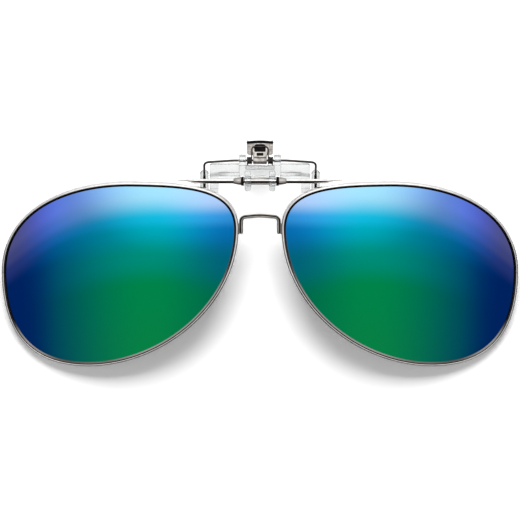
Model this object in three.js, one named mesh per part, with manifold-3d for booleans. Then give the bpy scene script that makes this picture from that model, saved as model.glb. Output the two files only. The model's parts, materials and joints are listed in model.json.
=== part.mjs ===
// Flip-up clip-on sunglasses lying on their back, as they lie on a table.
// +X runs across the frame, +Y to the brow and +Z out of the lens fronts, in millimetres.
// The pieces are laid out about the hinge axis of the flip, which runs along X.
import * as THREE from 'three';
import { mergeVertices } from 'three/addons/utils/BufferGeometryUtils.js';
import Module from 'manifold-3d';

const wasm = await Module();
wasm.setup();

// Lens openings, seen from the front
const LENS_WIDTH = 60;
const LENS_HEIGHT = 47.2;
const LENS_SPACING = 13.6; // between the two openings at the nose
const LENS_DROP = 1.4; // from the brow bar's axis down to the top of the openings
const TEMPLE_RISE = -0.2; // the widest point on the temple side, above the lens centre
const NOSE_RISE = 12.5; // the widest point on the nose side, above the lens centre
const TOP_INSET = 3.5; // the top point lies this far towards the nose
const BOTTOM_OUTSET = 9.9; // the bottom point lies this far towards the temple
const BASE_CURVE_RADIUS = 120;
const WRAP_ANGLE = THREE.MathUtils.degToRad(6);
const LENS_THICKNESS = 1.2;
const LENS_BEVEL = 0.5; // height of the pointed lens edge

// Handle lengths of the outline's four curves, as shares of the width or height that each one spans
const FULLNESS = {
  templeUp: 0.63, topOut: 0.55, topIn: 0.51, noseUp: 0.94,
  noseDown: 0.565, bottomIn: 0.48, bottomOut: 0.725, templeDown: 0.635,
};

// Rims
const RIM_WIDTH = 1.2;
const RIM_LIP = 0.5; // how far a rim stands proud of each lens face
const RIM_ROUND = 0.35;
const RIM_SPLIT = 0.3;
const GROOVE_CLEARANCE = 0.1;

// Closing blocks and screws behind the rims at the temples
const BLOCK_WIDTH = 1.8;
const BLOCK_DEPTH = 1.7;
const BLOCK_LENGTH = 1.8;
const SCREW_RADIUS = 0.5;
const SCREW_HEAD_RADIUS = 0.8;
const SCREW_HEAD_HEIGHT = 0.5;
const SCREW_CLEARANCE = 0.1;
const SOLDER_GAP = 0.1;

// Brow bar, its collars and the nose bridge
const BAR_RADIUS = 0.6;
const BAR_REACH = 21.5; // half the length of the bar
const BAR_FLAT = 0.1; // depth of the two flats that the detent leaf presses on
const COLLAR_LENGTH = 2.7;
const COLLAR_RADIUS = 1.2;
const COLLAR_CREST = 0.8; // length of the collar's full width, next to the lug
const COLLAR_TIP_WALL = 0.15;
const COLLAR_CLEARANCE = 0.05;
const BRIDGE_RADIUS = 0.52;
const BRIDGE_DROP = 9; // from the brow bar's axis to the middle of the bridge
const BRIDGE_SAG = 0.45; // how much lower the bridge's corners lie
const BRIDGE_BEND = 1.3;
const BRIDGE_FOOT = 1.3; // length of the legs past the rims' closest point

// Clip base
const HINGE_CLEARANCE = 0.1;
const LUG_INNER = 2.35;
const LUG_WIDTH = 1.7;
const LUG_RADIUS = 1.35;
const LUG_SIDE_GAP = 0.15;
const TAIL_DROP = 2.9;
const TAIL_FRONT = 0.75;
const TAIL_BACK = 1.9;
const BODY_HALF_WIDTH = 5.5;
const BODY_BOTTOM = 0.7;
const BODY_FRONT = 1.2;
const BODY_BACK = 5.4;
const BODY_STEP = 2.6; // height of the ledge under the spring
const WALL_TOP = 3.9; // height of the wall in front of the spring
const WALL_THICKNESS = 0.9;
const EAR_INNER = 3.65;
const EAR_FRONT = 2;
const EAR_RISE = 1.45; // above the jaw's axle
const EAR_ROUND = 0.9;
const PLATE_FRONT = 3.2;
const PLATE_THICKNESS = 1.4;
const ARM_TOP = 3.9;
const ARM_BOTTOM = -0.3;
const ARM_ROUND = 0.8;
const RIB_HEIGHT = 1.5;
const RIB_DEPTH = 0.6;
const RIB_RISE = 0.8; // above the arm's lower edge
const LEG_INNER = 10.8;
const LEG_WIDTH = 2.35;
const LEG_DROP = 8.5;
const PAD_LENGTH = 5.8;
const PAD_DEPTH = 0.3;

// Detent leaf
const LEAF_THICKNESS = 0.2;
const LEAF_GAP = 0.05; // between the leaf and the round of the bar
const LEAF_TOP = 0.7;
const LEAF_DROP = 1.1;
const LEAF_TUCK = 0.3; // how far each end sits in its lug
const LEAF_SLOT_CLEARANCE = 0.1;

// Wire jaw and sleeves
const AXLE_RISE = 4.75;
const AXLE_DEPTH = 3.8;
const AXLE_CLEARANCE = 0.1;
const WIRE_RADIUS = 0.3;
const WIRE_DROOP = 0.5; // how far the axle's free ends slope down
const WIRE_BEND = 1.4;
const HEEL_TOP = 0.1; // the heel is the run of the leg that lies on the table
const HEEL_LENGTH = 3.6;
const HEEL_BEND = 1.2;
const JAW_GAP = 0.2; // between the closed jaw's sleeves and the pads' plane
const SLEEVE_RADIUS = 1.1;
const SLEEVE_SIDE_GAP = 0.3; // between a sleeve and the leg beside it
const SLEEVE_TOP = 1.1;
const SLEEVE_CAP = 0.6;
const SLEEVE_CLEARANCE = 0.1;

// Lever and spring, in the lever's own frame: its length runs up from the axle
const LEVER_LEAN = THREE.MathUtils.degToRad(20);
const LEVER_LENGTH = 4.9;
const LEVER_THICKNESS = 0.5;
const BARREL_RADIUS = 0.95;
const BARREL_HALF_WIDTH = 1.8;
const BARREL_CLEARANCE = 0.05;
const TAB_HALF_WIDTH = 3.4;
const TAB_START = 1.4;
const TAB_ROUND = 0.9;
const BEAD_RADIUS = 0.5;
const SLOT_HALF_WIDTH = 0.9;
const SLOT_START = 1.2;
const SLOT_LENGTH = 0.8;
const SPRING_RADIUS = 0.17;
const COIL_RADIUS = 0.85;
const COIL_TURNS = 3;
const COIL_INNER = 2.15;
const COIL_LENGTH = 1.15;
const LOOP_LENGTH = 3.6;
const LOOP_GAP = 0.1; // between the spring's loop and the lever's face
const LOOP_BEND = 0.9;
const SPRING_LEG = 1.5;

// How finely curves are cut
const RIM_STEPS = 64;
const LENS_RINGS = [0.3, 0.62, 0.88]; // shares of the way from the lens centre to its edge
const ROUND_SIDES = 12;
const WIRE_SIDES = 8;
const BRIDGE_STEPS = 36;
const WIRE_STEPS = 88;
const SLEEVE_STEPS = 18;
const COIL_STEPS = 10; // per turn
const SPRING_SIDES = 6;
const SPRING_STEPS = 96;
const CORNER_STEPS = 3;
const MERGE_DISTANCE = 1e-5; // points closer than this are one point
const RIM_CORNER_STEPS = 2;

// Finishes
const SILVER = new THREE.MeshStandardMaterial({ color: 0xc9cbcd, roughness: 0.16, metalness: 1 });
const STEEL = new THREE.MeshStandardMaterial({ color: 0xb4b3b0, roughness: 0.22, metalness: 1 });
const MIRROR = new THREE.MeshStandardMaterial({ color: 0x0d9474, roughness: 0.08, metalness: 0.9 });
const CLEAR = new THREE.MeshStandardMaterial({ color: 0xe9edee, roughness: 0.1, metalness: 0 });
const VINYL = new THREE.MeshStandardMaterial({ color: 0xe4e6e4, roughness: 0.3, metalness: 0 });

// Helpers

function toSolid(geometry) {
  const bare = geometry.clone();
  bare.deleteAttribute('normal');
  bare.deleteAttribute('uv');
  const merged = mergeVertices(bare, MERGE_DISTANCE);
  return new wasm.Manifold(new wasm.Mesh({
    numProp: 3,
    vertProperties: new Float32Array(merged.attributes.position.array),
    triVerts: new Uint32Array(merged.index.array),
  }));
}

function toGeometry(solid) {
  const mesh = solid.getMesh();
  const geometry = new THREE.BufferGeometry();
  geometry.setAttribute('position', new THREE.BufferAttribute(new Float32Array(mesh.vertProperties), 3));
  geometry.setIndex(new THREE.BufferAttribute(new Uint32Array(mesh.triVerts), 1));
  geometry.computeVertexNormals();
  return geometry;
}

function join(geometries) {
  return geometries.map(toSolid).reduce((whole, piece) => whole.add(piece));
}

function cutAway(solid, geometries) {
  return geometries.map(toSolid).reduce((whole, piece) => whole.subtract(piece), solid);
}

// The same shape on the other side of the plane x = 0, with its faces still pointing out
function mirrored(geometry) {
  const other = geometry.clone().scale(-1, 1, 1);
  const indexed = other.index ? other : mergeVertices(other);
  const index = indexed.index.array;
  for (let i = 0; i < index.length; i += 3) {
    [index[i + 1], index[i + 2]] = [index[i + 2], index[i + 1]];
  }
  return indexed;
}

function bothSides(geometry) {
  return [geometry, mirrored(geometry)];
}

function box(x0, x1, y0, y1, z0, z1) {
  const geometry = new THREE.BoxGeometry(x1 - x0, y1 - y0, z1 - z0);
  return geometry.translate((x0 + x1) / 2, (y0 + y1) / 2, (z0 + z1) / 2);
}

function rodAlongX(radius, x0, x1, y = 0, z = 0) {
  const geometry = new THREE.CylinderGeometry(radius, radius, x1 - x0, ROUND_SIDES);
  return geometry.rotateZ(-Math.PI / 2).translate((x0 + x1) / 2, y, z);
}

function plateOf(shape, thickness) {
  return new THREE.ExtrudeGeometry(
    shape, { depth: thickness, bevelEnabled: false, curveSegments: CORNER_STEPS });
}

// A shape drawn with y to its right and z up, stretched along x
function prismAlongX(shape, x0, x1) {
  const geometry = plateOf(shape, x1 - x0);
  const toYZX = new THREE.Matrix4().makeBasis(
    new THREE.Vector3(0, 1, 0), new THREE.Vector3(0, 0, 1), new THREE.Vector3(1, 0, 0));
  return geometry.translate(0, 0, x0).applyMatrix4(toYZX);
}

function circle(radius) {
  return new THREE.Shape().absarc(0, 0, radius, 0, 2 * Math.PI);
}

function wireAlong(path, radius, steps, sides = WIRE_SIDES) {
  return new THREE.ExtrudeGeometry(circle(radius), { extrudePath: path, steps, curveSegments: sides / 2 });
}

// Straight runs between the points, with each inner corner rounded over its bend length
function bentPath(points, bends) {
  const path = new THREE.CurvePath();
  let start = points[0];
  for (let i = 1; i < points.length - 1; i++) {
    const before = points[i].clone().sub(points[i - 1]).setLength(bends[i - 1]);
    const after = points[i + 1].clone().sub(points[i]).setLength(bends[i - 1]);
    const enter = points[i].clone().sub(before);
    const leave = points[i].clone().add(after);
    path.add(new THREE.LineCurve3(start, enter));
    path.add(new THREE.QuadraticBezierCurve3(enter, points[i], leave));
    start = leave;
  }
  path.add(new THREE.LineCurve3(start, points[points.length - 1]));
  return path;
}

function mirrorPoint(point) {
  return new THREE.Vector3(-point.x, point.y, point.z);
}

function named(name, geometry, material) {
  const mesh = new THREE.Mesh(geometry, material);
  mesh.name = name;
  return mesh;
}

// Lens outline and the place of a lens

const temple = new THREE.Vector2(LENS_WIDTH / 2, TEMPLE_RISE);
const top = new THREE.Vector2(-TOP_INSET, LENS_HEIGHT / 2);
const nose = new THREE.Vector2(-LENS_WIDTH / 2, NOSE_RISE);
const bottom = new THREE.Vector2(BOTTOM_OUTSET, -LENS_HEIGHT / 2);

// From the temple over the top to the nose, and back under the lens
function openingOutline() {
  const f = FULLNESS;
  const path = new THREE.Path().moveTo(temple.x, temple.y);
  path.bezierCurveTo(
    temple.x, temple.y + f.templeUp * (top.y - temple.y),
    top.x + f.topOut * (temple.x - top.x), top.y, top.x, top.y);
  path.bezierCurveTo(
    top.x + f.topIn * (nose.x - top.x), top.y,
    nose.x, nose.y + f.noseUp * (top.y - nose.y), nose.x, nose.y);
  path.bezierCurveTo(
    nose.x, nose.y + f.noseDown * (bottom.y - nose.y),
    bottom.x + f.bottomIn * (nose.x - bottom.x), bottom.y, bottom.x, bottom.y);
  path.bezierCurveTo(
    bottom.x + f.bottomOut * (temple.x - bottom.x), bottom.y,
    temple.x, temple.y + f.templeDown * (bottom.y - temple.y), temple.x, temple.y);
  return path;
}

const outline = openingOutline();

// How far the lens front lies behind its own middle
function lensSag(u, v) {
  return BASE_CURVE_RADIUS - Math.sqrt(BASE_CURVE_RADIUS ** 2 - u * u - v * v);
}

// A point of the opening's edge on the lens front, with the direction out of the lens
function edgeStation(share) {
  const at = outline.getPoint(share);
  const along = outline.getTangent(share);
  return {
    point: new THREE.Vector3(at.x, at.y, -lensSag(at.x, at.y)),
    out: new THREE.Vector3(along.y, -along.x, 0),
    along: new THREE.Vector3(along.x, along.y, 0),
  };
}

const forward = new THREE.Vector3(0, 0, 1);
const rimFront = RIM_LIP;
const rimBack = -LENS_THICKNESS - RIM_LIP;
const rimMiddle = (rimFront + rimBack) / 2;

// The right lens is turned by the wrap; the bar's end then lies level with the rim's middle
function lensPlacement() {
  const turn = new THREE.Matrix4().makeRotationY(WRAP_ANGLE);
  const noseEdge = new THREE.Vector3(nose.x, nose.y, -lensSag(nose.x, nose.y)).applyMatrix4(turn);
  const centreX = LENS_SPACING / 2 - noseEdge.x;
  const joint = new THREE.Vector3(BAR_REACH - centreX, top.y, rimMiddle - lensSag(BAR_REACH - centreX, top.y));
  joint.applyMatrix4(turn);
  return new THREE.Vector3(centreX, -LENS_DROP - LENS_HEIGHT / 2, -joint.z);
}

const lensPosition = lensPlacement();
const lensMatrix = new THREE.Matrix4().makeRotationY(WRAP_ANGLE).setPosition(lensPosition);

// Rims and lenses, in the lens's own frame

class RimPath extends THREE.Curve {
  constructor(split) {
    super();
    const half = split / 2 / outline.getLength();
    this.stations = Array.from({ length: RIM_STEPS + 1 }, (_, i) =>
      edgeStation(THREE.MathUtils.clamp(i / RIM_STEPS, half, 1 - half)));
  }

  getPoint(share) {
    return this.stations[Math.round(share * RIM_STEPS)].point;
  }

  getSpacedPoints() {
    return this.stations.map((station) => station.point);
  }

  // The section's first axis points forward and its second out of the lens, all the way round
  computeFrenetFrames() {
    return {
      tangents: this.stations.map((station) => station.along),
      normals: this.stations.map(() => forward),
      binormals: this.stations.map((station) => station.out),
    };
  }
}

// Rim section, forward along x and out of the lens along y, with a pointed groove for the lens edge
function rimSection() {
  const section = new THREE.Shape();
  section.moveTo(GROOVE_CLEARANCE, 0);
  section.lineTo(rimFront - RIM_ROUND, 0);
  section.quadraticCurveTo(rimFront, 0, rimFront, RIM_ROUND);
  section.lineTo(rimFront, RIM_WIDTH - RIM_ROUND);
  section.quadraticCurveTo(rimFront, RIM_WIDTH, rimFront - RIM_ROUND, RIM_WIDTH);
  section.lineTo(rimBack + RIM_ROUND, RIM_WIDTH);
  section.quadraticCurveTo(rimBack, RIM_WIDTH, rimBack, RIM_WIDTH - RIM_ROUND);
  section.lineTo(rimBack, 0);
  section.lineTo(-LENS_THICKNESS - GROOVE_CLEARANCE, 0);
  section.lineTo(-LENS_THICKNESS / 2, LENS_BEVEL + GROOVE_CLEARANCE);
  section.closePath();
  return section;
}

function rimGeometry() {
  return new THREE.ExtrudeGeometry(rimSection(), {
    extrudePath: new RimPath(RIM_SPLIT), steps: RIM_STEPS, curveSegments: RIM_CORNER_STEPS,
  });
}

// A rim's outer shape with the solder gap added, to cope what is brazed on it
function rimCutter() {
  const grown = new THREE.Shape();
  grown.moveTo(rimFront + SOLDER_GAP, 0);
  grown.lineTo(rimFront + SOLDER_GAP, RIM_WIDTH + SOLDER_GAP);
  grown.lineTo(rimBack - SOLDER_GAP, RIM_WIDTH + SOLDER_GAP);
  grown.lineTo(rimBack - SOLDER_GAP, 0);
  const cutter = new THREE.ExtrudeGeometry(grown, {
    extrudePath: new RimPath(RIM_SPLIT), steps: RIM_STEPS,
  });
  return cutter.applyMatrix4(lensMatrix);
}

// A round disc drawn out to the lens outline and bent to the base curve
function lensGeometry() {
  const inner = [0, ...LENS_RINGS];
  const rings = [
    ...inner.map((share) => ({ share, depth: LENS_THICKNESS, bevel: 0 })),
    { share: 1, depth: LENS_THICKNESS, bevel: 0 },
    { share: 1, depth: LENS_THICKNESS / 2, bevel: LENS_BEVEL },
    { share: 1, depth: 0, bevel: 0 },
    ...inner.toReversed().map((share) => ({ share, depth: 0, bevel: 0 })),
  ];
  const profile = rings.map((ring) => new THREE.Vector2(ring.share, -ring.depth));
  const geometry = new THREE.LatheGeometry(profile, RIM_STEPS);
  const position = geometry.attributes.position;
  for (let i = 0; i <= RIM_STEPS; i++) {
    const edge = edgeStation((i % RIM_STEPS) / RIM_STEPS);
    rings.forEach((ring, j) => {
      const u = edge.point.x * ring.share;
      const v = edge.point.y * ring.share;
      const at = new THREE.Vector3(u, v, -lensSag(u, v) - ring.depth).addScaledVector(edge.out, ring.bevel);
      position.setXYZ(i * rings.length + j, at.x, at.y, at.z);
    });
  }
  return geometry;
}

// Closing blocks behind the rim, above and below its split, with the screw that pulls them together
const split = edgeStation(0).point;
const blockOuter = split.x + RIM_WIDTH;
const blockFront = split.z + rimBack - SOLDER_GAP;
const screwX = blockOuter - BLOCK_WIDTH / 2;
const screwZ = blockFront - BLOCK_DEPTH / 2;

function rodAlongY(radius, y0, y1) {
  const rod = new THREE.CylinderGeometry(radius, radius, y1 - y0, ROUND_SIDES);
  return rod.translate(screwX, split.y + (y0 + y1) / 2, screwZ);
}

function blockGeometry(side) {
  const ends = [side * RIM_SPLIT / 2, side * (RIM_SPLIT / 2 + BLOCK_LENGTH)].sort((a, b) => a - b);
  const block = join([box(
    blockOuter - BLOCK_WIDTH, blockOuter, split.y + ends[0], split.y + ends[1],
    blockFront - BLOCK_DEPTH, blockFront)]);
  const bore = rodAlongY(SCREW_RADIUS + SCREW_CLEARANCE, -2 * BLOCK_LENGTH, 2 * BLOCK_LENGTH);
  return toGeometry(cutAway(block, [bore]));
}

function screwGeometry() {
  const end = RIM_SPLIT / 2 + BLOCK_LENGTH;
  const profile = [
    [0, -end], [SCREW_RADIUS, -end], [SCREW_RADIUS, end + SCREW_CLEARANCE],
    [SCREW_HEAD_RADIUS, end + SCREW_CLEARANCE],
    [SCREW_HEAD_RADIUS, end + SCREW_CLEARANCE + SCREW_HEAD_HEIGHT],
    [0, end + SCREW_CLEARANCE + SCREW_HEAD_HEIGHT],
  ];
  const screw = new THREE.LatheGeometry(profile.map(([r, y]) => new THREE.Vector2(r, y)), ROUND_SIDES);
  return screw.translate(screwX, split.y, screwZ);
}

// Brow bar with two flats for the leaf, its ends coped to sit on the rims
function browBarGeometry() {
  const flatEnd = LUG_INNER - HINGE_CLEARANCE;
  const flat = BAR_RADIUS - BAR_FLAT;
  const bar = join([rodAlongX(BAR_RADIUS, -BAR_REACH, BAR_REACH)]);
  return toGeometry(cutAway(bar, [
    box(-flatEnd, flatEnd, -2 * BAR_RADIUS, 2 * BAR_RADIUS, -2 * BAR_RADIUS, -flat),
    box(-flatEnd, flatEnd, flat, 2 * BAR_RADIUS, -2 * BAR_RADIUS, 2 * BAR_RADIUS),
    ...bothSides(rimCutter()),
  ]));
}

function collarGeometry() {
  const inside = BAR_RADIUS + COLLAR_CLEARANCE;
  const start = LUG_INNER + LUG_WIDTH + LUG_SIDE_GAP;
  const profile = [
    [inside, start], [COLLAR_RADIUS, start], [COLLAR_RADIUS, start + COLLAR_CREST],
    [inside + COLLAR_TIP_WALL, start + COLLAR_LENGTH], [inside, start + COLLAR_LENGTH], [inside, start],
  ];
  const collar = new THREE.LatheGeometry(profile.map(([r, x]) => new THREE.Vector2(r, x)), ROUND_SIDES);
  return collar.rotateZ(-Math.PI / 2);
}

// Nose bridge: its legs stand beside the rims where these come closest to the middle
function bridgeGeometry() {
  const walls = Array.from({ length: RIM_STEPS }, (_, i) => edgeStation(i / RIM_STEPS)).map((edge) =>
    edge.point.clone().addScaledVector(edge.out, RIM_WIDTH).addScaledVector(forward, rimMiddle)
      .applyMatrix4(lensMatrix));
  const closest = walls.reduce((best, at) => (at.x < best.x ? at : best));
  const legX = closest.x - SOLDER_GAP - BRIDGE_RADIUS;
  const corner = new THREE.Vector3(legX, -BRIDGE_DROP - BRIDGE_SAG, closest.z);
  const foot = new THREE.Vector3(legX, closest.y - BRIDGE_FOOT, closest.z);
  const middle = new THREE.Vector3(0, -BRIDGE_DROP, closest.z);
  const path = bentPath(
    [mirrorPoint(foot), mirrorPoint(corner), middle, corner, foot], [BRIDGE_BEND, BRIDGE_BEND, BRIDGE_BEND]);
  return wireAlong(path, BRIDGE_RADIUS, BRIDGE_STEPS);
}

// Clip base

const plateBack = -PLATE_FRONT - PLATE_THICKNESS;
const legOuter = LEG_INNER + LEG_WIDTH;
const wallBack = -BODY_FRONT - WALL_THICKNESS;
const barBore = BAR_RADIUS + HINGE_CLEARANCE;
const leafFront = -BAR_RADIUS - LEAF_GAP;
const leafHalfWidth = LUG_INNER + LEAF_TUCK;

// Arms and front jaw legs, cut from one plate
function jawPlateShape() {
  const shape = new THREE.Shape();
  shape.moveTo(legOuter, -LEG_DROP);
  shape.lineTo(legOuter, ARM_TOP - ARM_ROUND);
  shape.quadraticCurveTo(legOuter, ARM_TOP, legOuter - ARM_ROUND, ARM_TOP);
  shape.lineTo(-legOuter + ARM_ROUND, ARM_TOP);
  shape.quadraticCurveTo(-legOuter, ARM_TOP, -legOuter, ARM_TOP - ARM_ROUND);
  shape.lineTo(-legOuter, -LEG_DROP);
  shape.lineTo(-LEG_INNER, -LEG_DROP);
  shape.lineTo(-LEG_INNER, ARM_BOTTOM - ARM_ROUND);
  shape.quadraticCurveTo(-LEG_INNER, ARM_BOTTOM, -LEG_INNER + ARM_ROUND, ARM_BOTTOM);
  shape.lineTo(LEG_INNER - ARM_ROUND, ARM_BOTTOM);
  shape.quadraticCurveTo(LEG_INNER, ARM_BOTTOM, LEG_INNER, ARM_BOTTOM - ARM_ROUND);
  shape.lineTo(LEG_INNER, -LEG_DROP);
  shape.closePath();
  return shape;
}

// Block behind the hinge: a wall in front, and a ledge under the spring behind it
function blockShape() {
  const shape = new THREE.Shape();
  shape.moveTo(BODY_BOTTOM, -BODY_BACK);
  shape.lineTo(BODY_STEP, -BODY_BACK);
  shape.lineTo(BODY_STEP, wallBack);
  shape.lineTo(WALL_TOP, wallBack);
  shape.lineTo(WALL_TOP, -BODY_FRONT);
  shape.lineTo(BODY_BOTTOM, -BODY_FRONT);
  shape.closePath();
  return shape;
}

function earShape() {
  const crest = AXLE_RISE + EAR_RISE;
  const shape = new THREE.Shape();
  shape.moveTo(BODY_BOTTOM, -BODY_BACK);
  shape.lineTo(crest - EAR_ROUND, -BODY_BACK);
  shape.quadraticCurveTo(crest, -BODY_BACK, crest, -BODY_BACK + EAR_ROUND);
  shape.lineTo(crest, -EAR_FRONT - EAR_ROUND);
  shape.quadraticCurveTo(crest, -EAR_FRONT, crest - EAR_ROUND, -EAR_FRONT);
  shape.lineTo(BODY_BOTTOM, -EAR_FRONT);
  shape.closePath();
  return shape;
}

function clipBaseGeometry() {
  const lugOuter = LUG_INNER + LUG_WIDTH;
  const plate = plateOf(jawPlateShape(), PLATE_THICKNESS);
  const rib = box(
    -LEG_INNER, LEG_INNER, ARM_BOTTOM + RIB_RISE, ARM_BOTTOM + RIB_RISE + RIB_HEIGHT,
    -PLATE_FRONT - PLATE_THICKNESS / 2, -PLATE_FRONT + RIB_DEPTH);
  const pad = box(
    LEG_INNER, legOuter, -LEG_DROP, -LEG_DROP + PAD_LENGTH, plateBack - PAD_DEPTH, plateBack + PAD_DEPTH);
  const web = box(LUG_INNER, lugOuter, -TAIL_DROP, BODY_STEP, -TAIL_BACK, -TAIL_FRONT);
  const base = join([
    plate.translate(0, 0, plateBack),
    rib,
    prismAlongX(blockShape(), -BODY_HALF_WIDTH, BODY_HALF_WIDTH),
    ...bothSides(prismAlongX(earShape(), EAR_INNER, BODY_HALF_WIDTH)),
    ...bothSides(rodAlongX(LUG_RADIUS, LUG_INNER, lugOuter)),
    ...bothSides(web),
    ...bothSides(pad),
  ]);
  const leafSlot = box(
    0, leafHalfWidth + LEAF_SLOT_CLEARANCE, -LEAF_DROP - LEAF_SLOT_CLEARANCE, LEAF_TOP + LEAF_SLOT_CLEARANCE,
    leafFront - LEAF_THICKNESS - LEAF_SLOT_CLEARANCE, leafFront + LEAF_SLOT_CLEARANCE);
  const springWell = box(
    -EAR_INNER, EAR_INNER, BODY_STEP, AXLE_RISE + EAR_RISE, plateBack - PLATE_THICKNESS, wallBack);
  return toGeometry(cutAway(base, [
    springWell,
    rodAlongX(WIRE_RADIUS + AXLE_CLEARANCE, -legOuter, legOuter, AXLE_RISE, -AXLE_DEPTH),
    rodAlongX(barBore, -lugOuter, lugOuter),
    ...bothSides(leafSlot),
  ]));
}

function detentLeafGeometry() {
  return box(-leafHalfWidth, leafHalfWidth, -LEAF_DROP, LEAF_TOP, leafFront - LEAF_THICKNESS, leafFront);
}

// Jaw: the wire's middle turns in the ears, and its legs reach back and down to the table

const tableZ = new THREE.Vector3(blockOuter, split.y, blockFront - BLOCK_DEPTH).applyMatrix4(lensMatrix).z;
const jawX = legOuter + SLEEVE_SIDE_GAP + SLEEVE_RADIUS;
const axleEnd = new THREE.Vector3(BODY_HALF_WIDTH + WIRE_BEND, AXLE_RISE, -AXLE_DEPTH);
const wireCorner = new THREE.Vector3(jawX, AXLE_RISE - WIRE_DROOP, -AXLE_DEPTH);
const heelStart = new THREE.Vector3(jawX, HEEL_TOP, tableZ + SLEEVE_RADIUS);
const heelEnd = new THREE.Vector3(jawX, HEEL_TOP - HEEL_LENGTH, tableZ + SLEEVE_RADIUS);
const wireTip = new THREE.Vector3(
  jawX, -LEG_DROP, plateBack - PAD_DEPTH - JAW_GAP - SLEEVE_RADIUS);

function alongLine(from, to, height) {
  return from.clone().lerp(to, (height - from.y) / (to.y - from.y));
}

function wireJawGeometry() {
  const right = [axleEnd, wireCorner, heelStart, heelEnd, wireTip];
  const left = right.map(mirrorPoint).reverse();
  const bends = [WIRE_BEND / 2, WIRE_BEND, HEEL_BEND, HEEL_BEND];
  return wireAlong(bentPath([...left, ...right], [...bends.toReversed(), ...bends]), WIRE_RADIUS, WIRE_STEPS);
}

// A tube round the wire's leg between two heights
function legTube(fromHeight, toHeight, radius, sides) {
  const start = alongLine(wireCorner, heelStart, fromHeight);
  const end = alongLine(heelEnd, wireTip, toHeight);
  const path = bentPath([start, heelStart, heelEnd, end], [HEEL_BEND, HEEL_BEND]);
  return wireAlong(path, radius, SLEEVE_STEPS, sides);
}

// A sleeve closed at the wire's tip, bored for the wire along the same bent path
function sleeveGeometry() {
  const outside = legTube(SLEEVE_TOP, wireTip.y - SLEEVE_CAP, SLEEVE_RADIUS, ROUND_SIDES);
  const bore = legTube(
    SLEEVE_TOP + SLEEVE_RADIUS, wireTip.y - SLEEVE_CLEARANCE, WIRE_RADIUS + SLEEVE_CLEARANCE, WIRE_SIDES);
  return toGeometry(cutAway(join([outside]), [bore]));
}

// Lever and spring, in the lever's own frame

function leverGeometry() {
  const face = new THREE.Shape();
  face.moveTo(-BARREL_HALF_WIDTH, 0);
  face.lineTo(BARREL_HALF_WIDTH, 0);
  face.lineTo(BARREL_HALF_WIDTH, TAB_START);
  face.lineTo(TAB_HALF_WIDTH - TAB_ROUND, TAB_START);
  face.quadraticCurveTo(TAB_HALF_WIDTH, TAB_START, TAB_HALF_WIDTH, TAB_START + TAB_ROUND);
  face.lineTo(TAB_HALF_WIDTH, LEVER_LENGTH);
  face.lineTo(-TAB_HALF_WIDTH, LEVER_LENGTH);
  face.lineTo(-TAB_HALF_WIDTH, TAB_START + TAB_ROUND);
  face.quadraticCurveTo(-TAB_HALF_WIDTH, TAB_START, -TAB_HALF_WIDTH + TAB_ROUND, TAB_START);
  face.lineTo(-BARREL_HALF_WIDTH, TAB_START);
  face.closePath();
  const plate = plateOf(face, LEVER_THICKNESS);
  const lever = join([
    plate.translate(0, 0, -LEVER_THICKNESS / 2),
    rodAlongX(BARREL_RADIUS, -BARREL_HALF_WIDTH, BARREL_HALF_WIDTH),
    rodAlongX(BEAD_RADIUS, -TAB_HALF_WIDTH, TAB_HALF_WIDTH, LEVER_LENGTH),
  ]);
  return toGeometry(cutAway(lever, [
    rodAlongX(WIRE_RADIUS + BARREL_CLEARANCE, -TAB_HALF_WIDTH, TAB_HALF_WIDTH),
    box(-SLOT_HALF_WIDTH, SLOT_HALF_WIDTH, SLOT_START, SLOT_START + SLOT_LENGTH,
      -LEVER_THICKNESS, LEVER_THICKNESS),
  ]));
}

// One half of the double torsion spring: leg, coil and half of the loop that lies on the lever
function springPoints() {
  const count = COIL_TURNS * COIL_STEPS;
  const outer = COIL_INNER + COIL_LENGTH;
  const loopFace = LEVER_THICKNESS / 2 + LOOP_GAP + SPRING_RADIUS;
  const points = [
    new THREE.Vector3(outer, -SPRING_LEG, COIL_RADIUS),
    new THREE.Vector3(outer, -SPRING_LEG / 2, COIL_RADIUS),
  ];
  for (let i = 0; i <= count; i++) {
    const angle = 2 * Math.PI * i / COIL_STEPS;
    points.push(new THREE.Vector3(
      outer - COIL_LENGTH * i / count, COIL_RADIUS * Math.sin(angle), COIL_RADIUS * Math.cos(angle)));
  }
  points.push(
    new THREE.Vector3(COIL_INNER, LOOP_LENGTH / 2, (COIL_RADIUS + loopFace) / 2),
    new THREE.Vector3(COIL_INNER, LOOP_LENGTH - LOOP_BEND, loopFace),
    new THREE.Vector3(COIL_INNER - LOOP_BEND, LOOP_LENGTH, loopFace),
  );
  return points;
}

function springGeometry() {
  const right = springPoints();
  const left = right.map(mirrorPoint).reverse();
  const path = new THREE.CatmullRomCurve3([...right, ...left], false, 'centripetal');
  return wireAlong(path, SPRING_RADIUS, SPRING_STEPS, SPRING_SIDES);
}

// Assembly

const sides = [['left', -1], ['right', 1]];

function frontGroup() {
  const front = new THREE.Group();
  const parts = [
    ['rim', rimGeometry(), SILVER],
    ['lens', lensGeometry(), MIRROR],
    ['closing_block_upper', blockGeometry(1), SILVER],
    ['closing_block_lower', blockGeometry(-1), SILVER],
    ['closing_screw', screwGeometry(), STEEL],
  ];
  for (const [side, sign] of sides) {
    const half = new THREE.Group();
    half.scale.x = sign;
    const placed = new THREE.Group();
    placed.position.copy(lensPosition);
    placed.rotation.y = WRAP_ANGLE;
    for (const [name, geometry, material] of parts) {
      placed.add(named(`${name}_${side}`, geometry, material));
    }
    half.add(placed, named(`hinge_collar_${side}`, collarGeometry(), SILVER));
    front.add(half);
  }
  front.add(named('brow_bar', browBarGeometry(), SILVER));
  front.add(named('nose_bridge', bridgeGeometry(), SILVER));
  return front;
}

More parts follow.
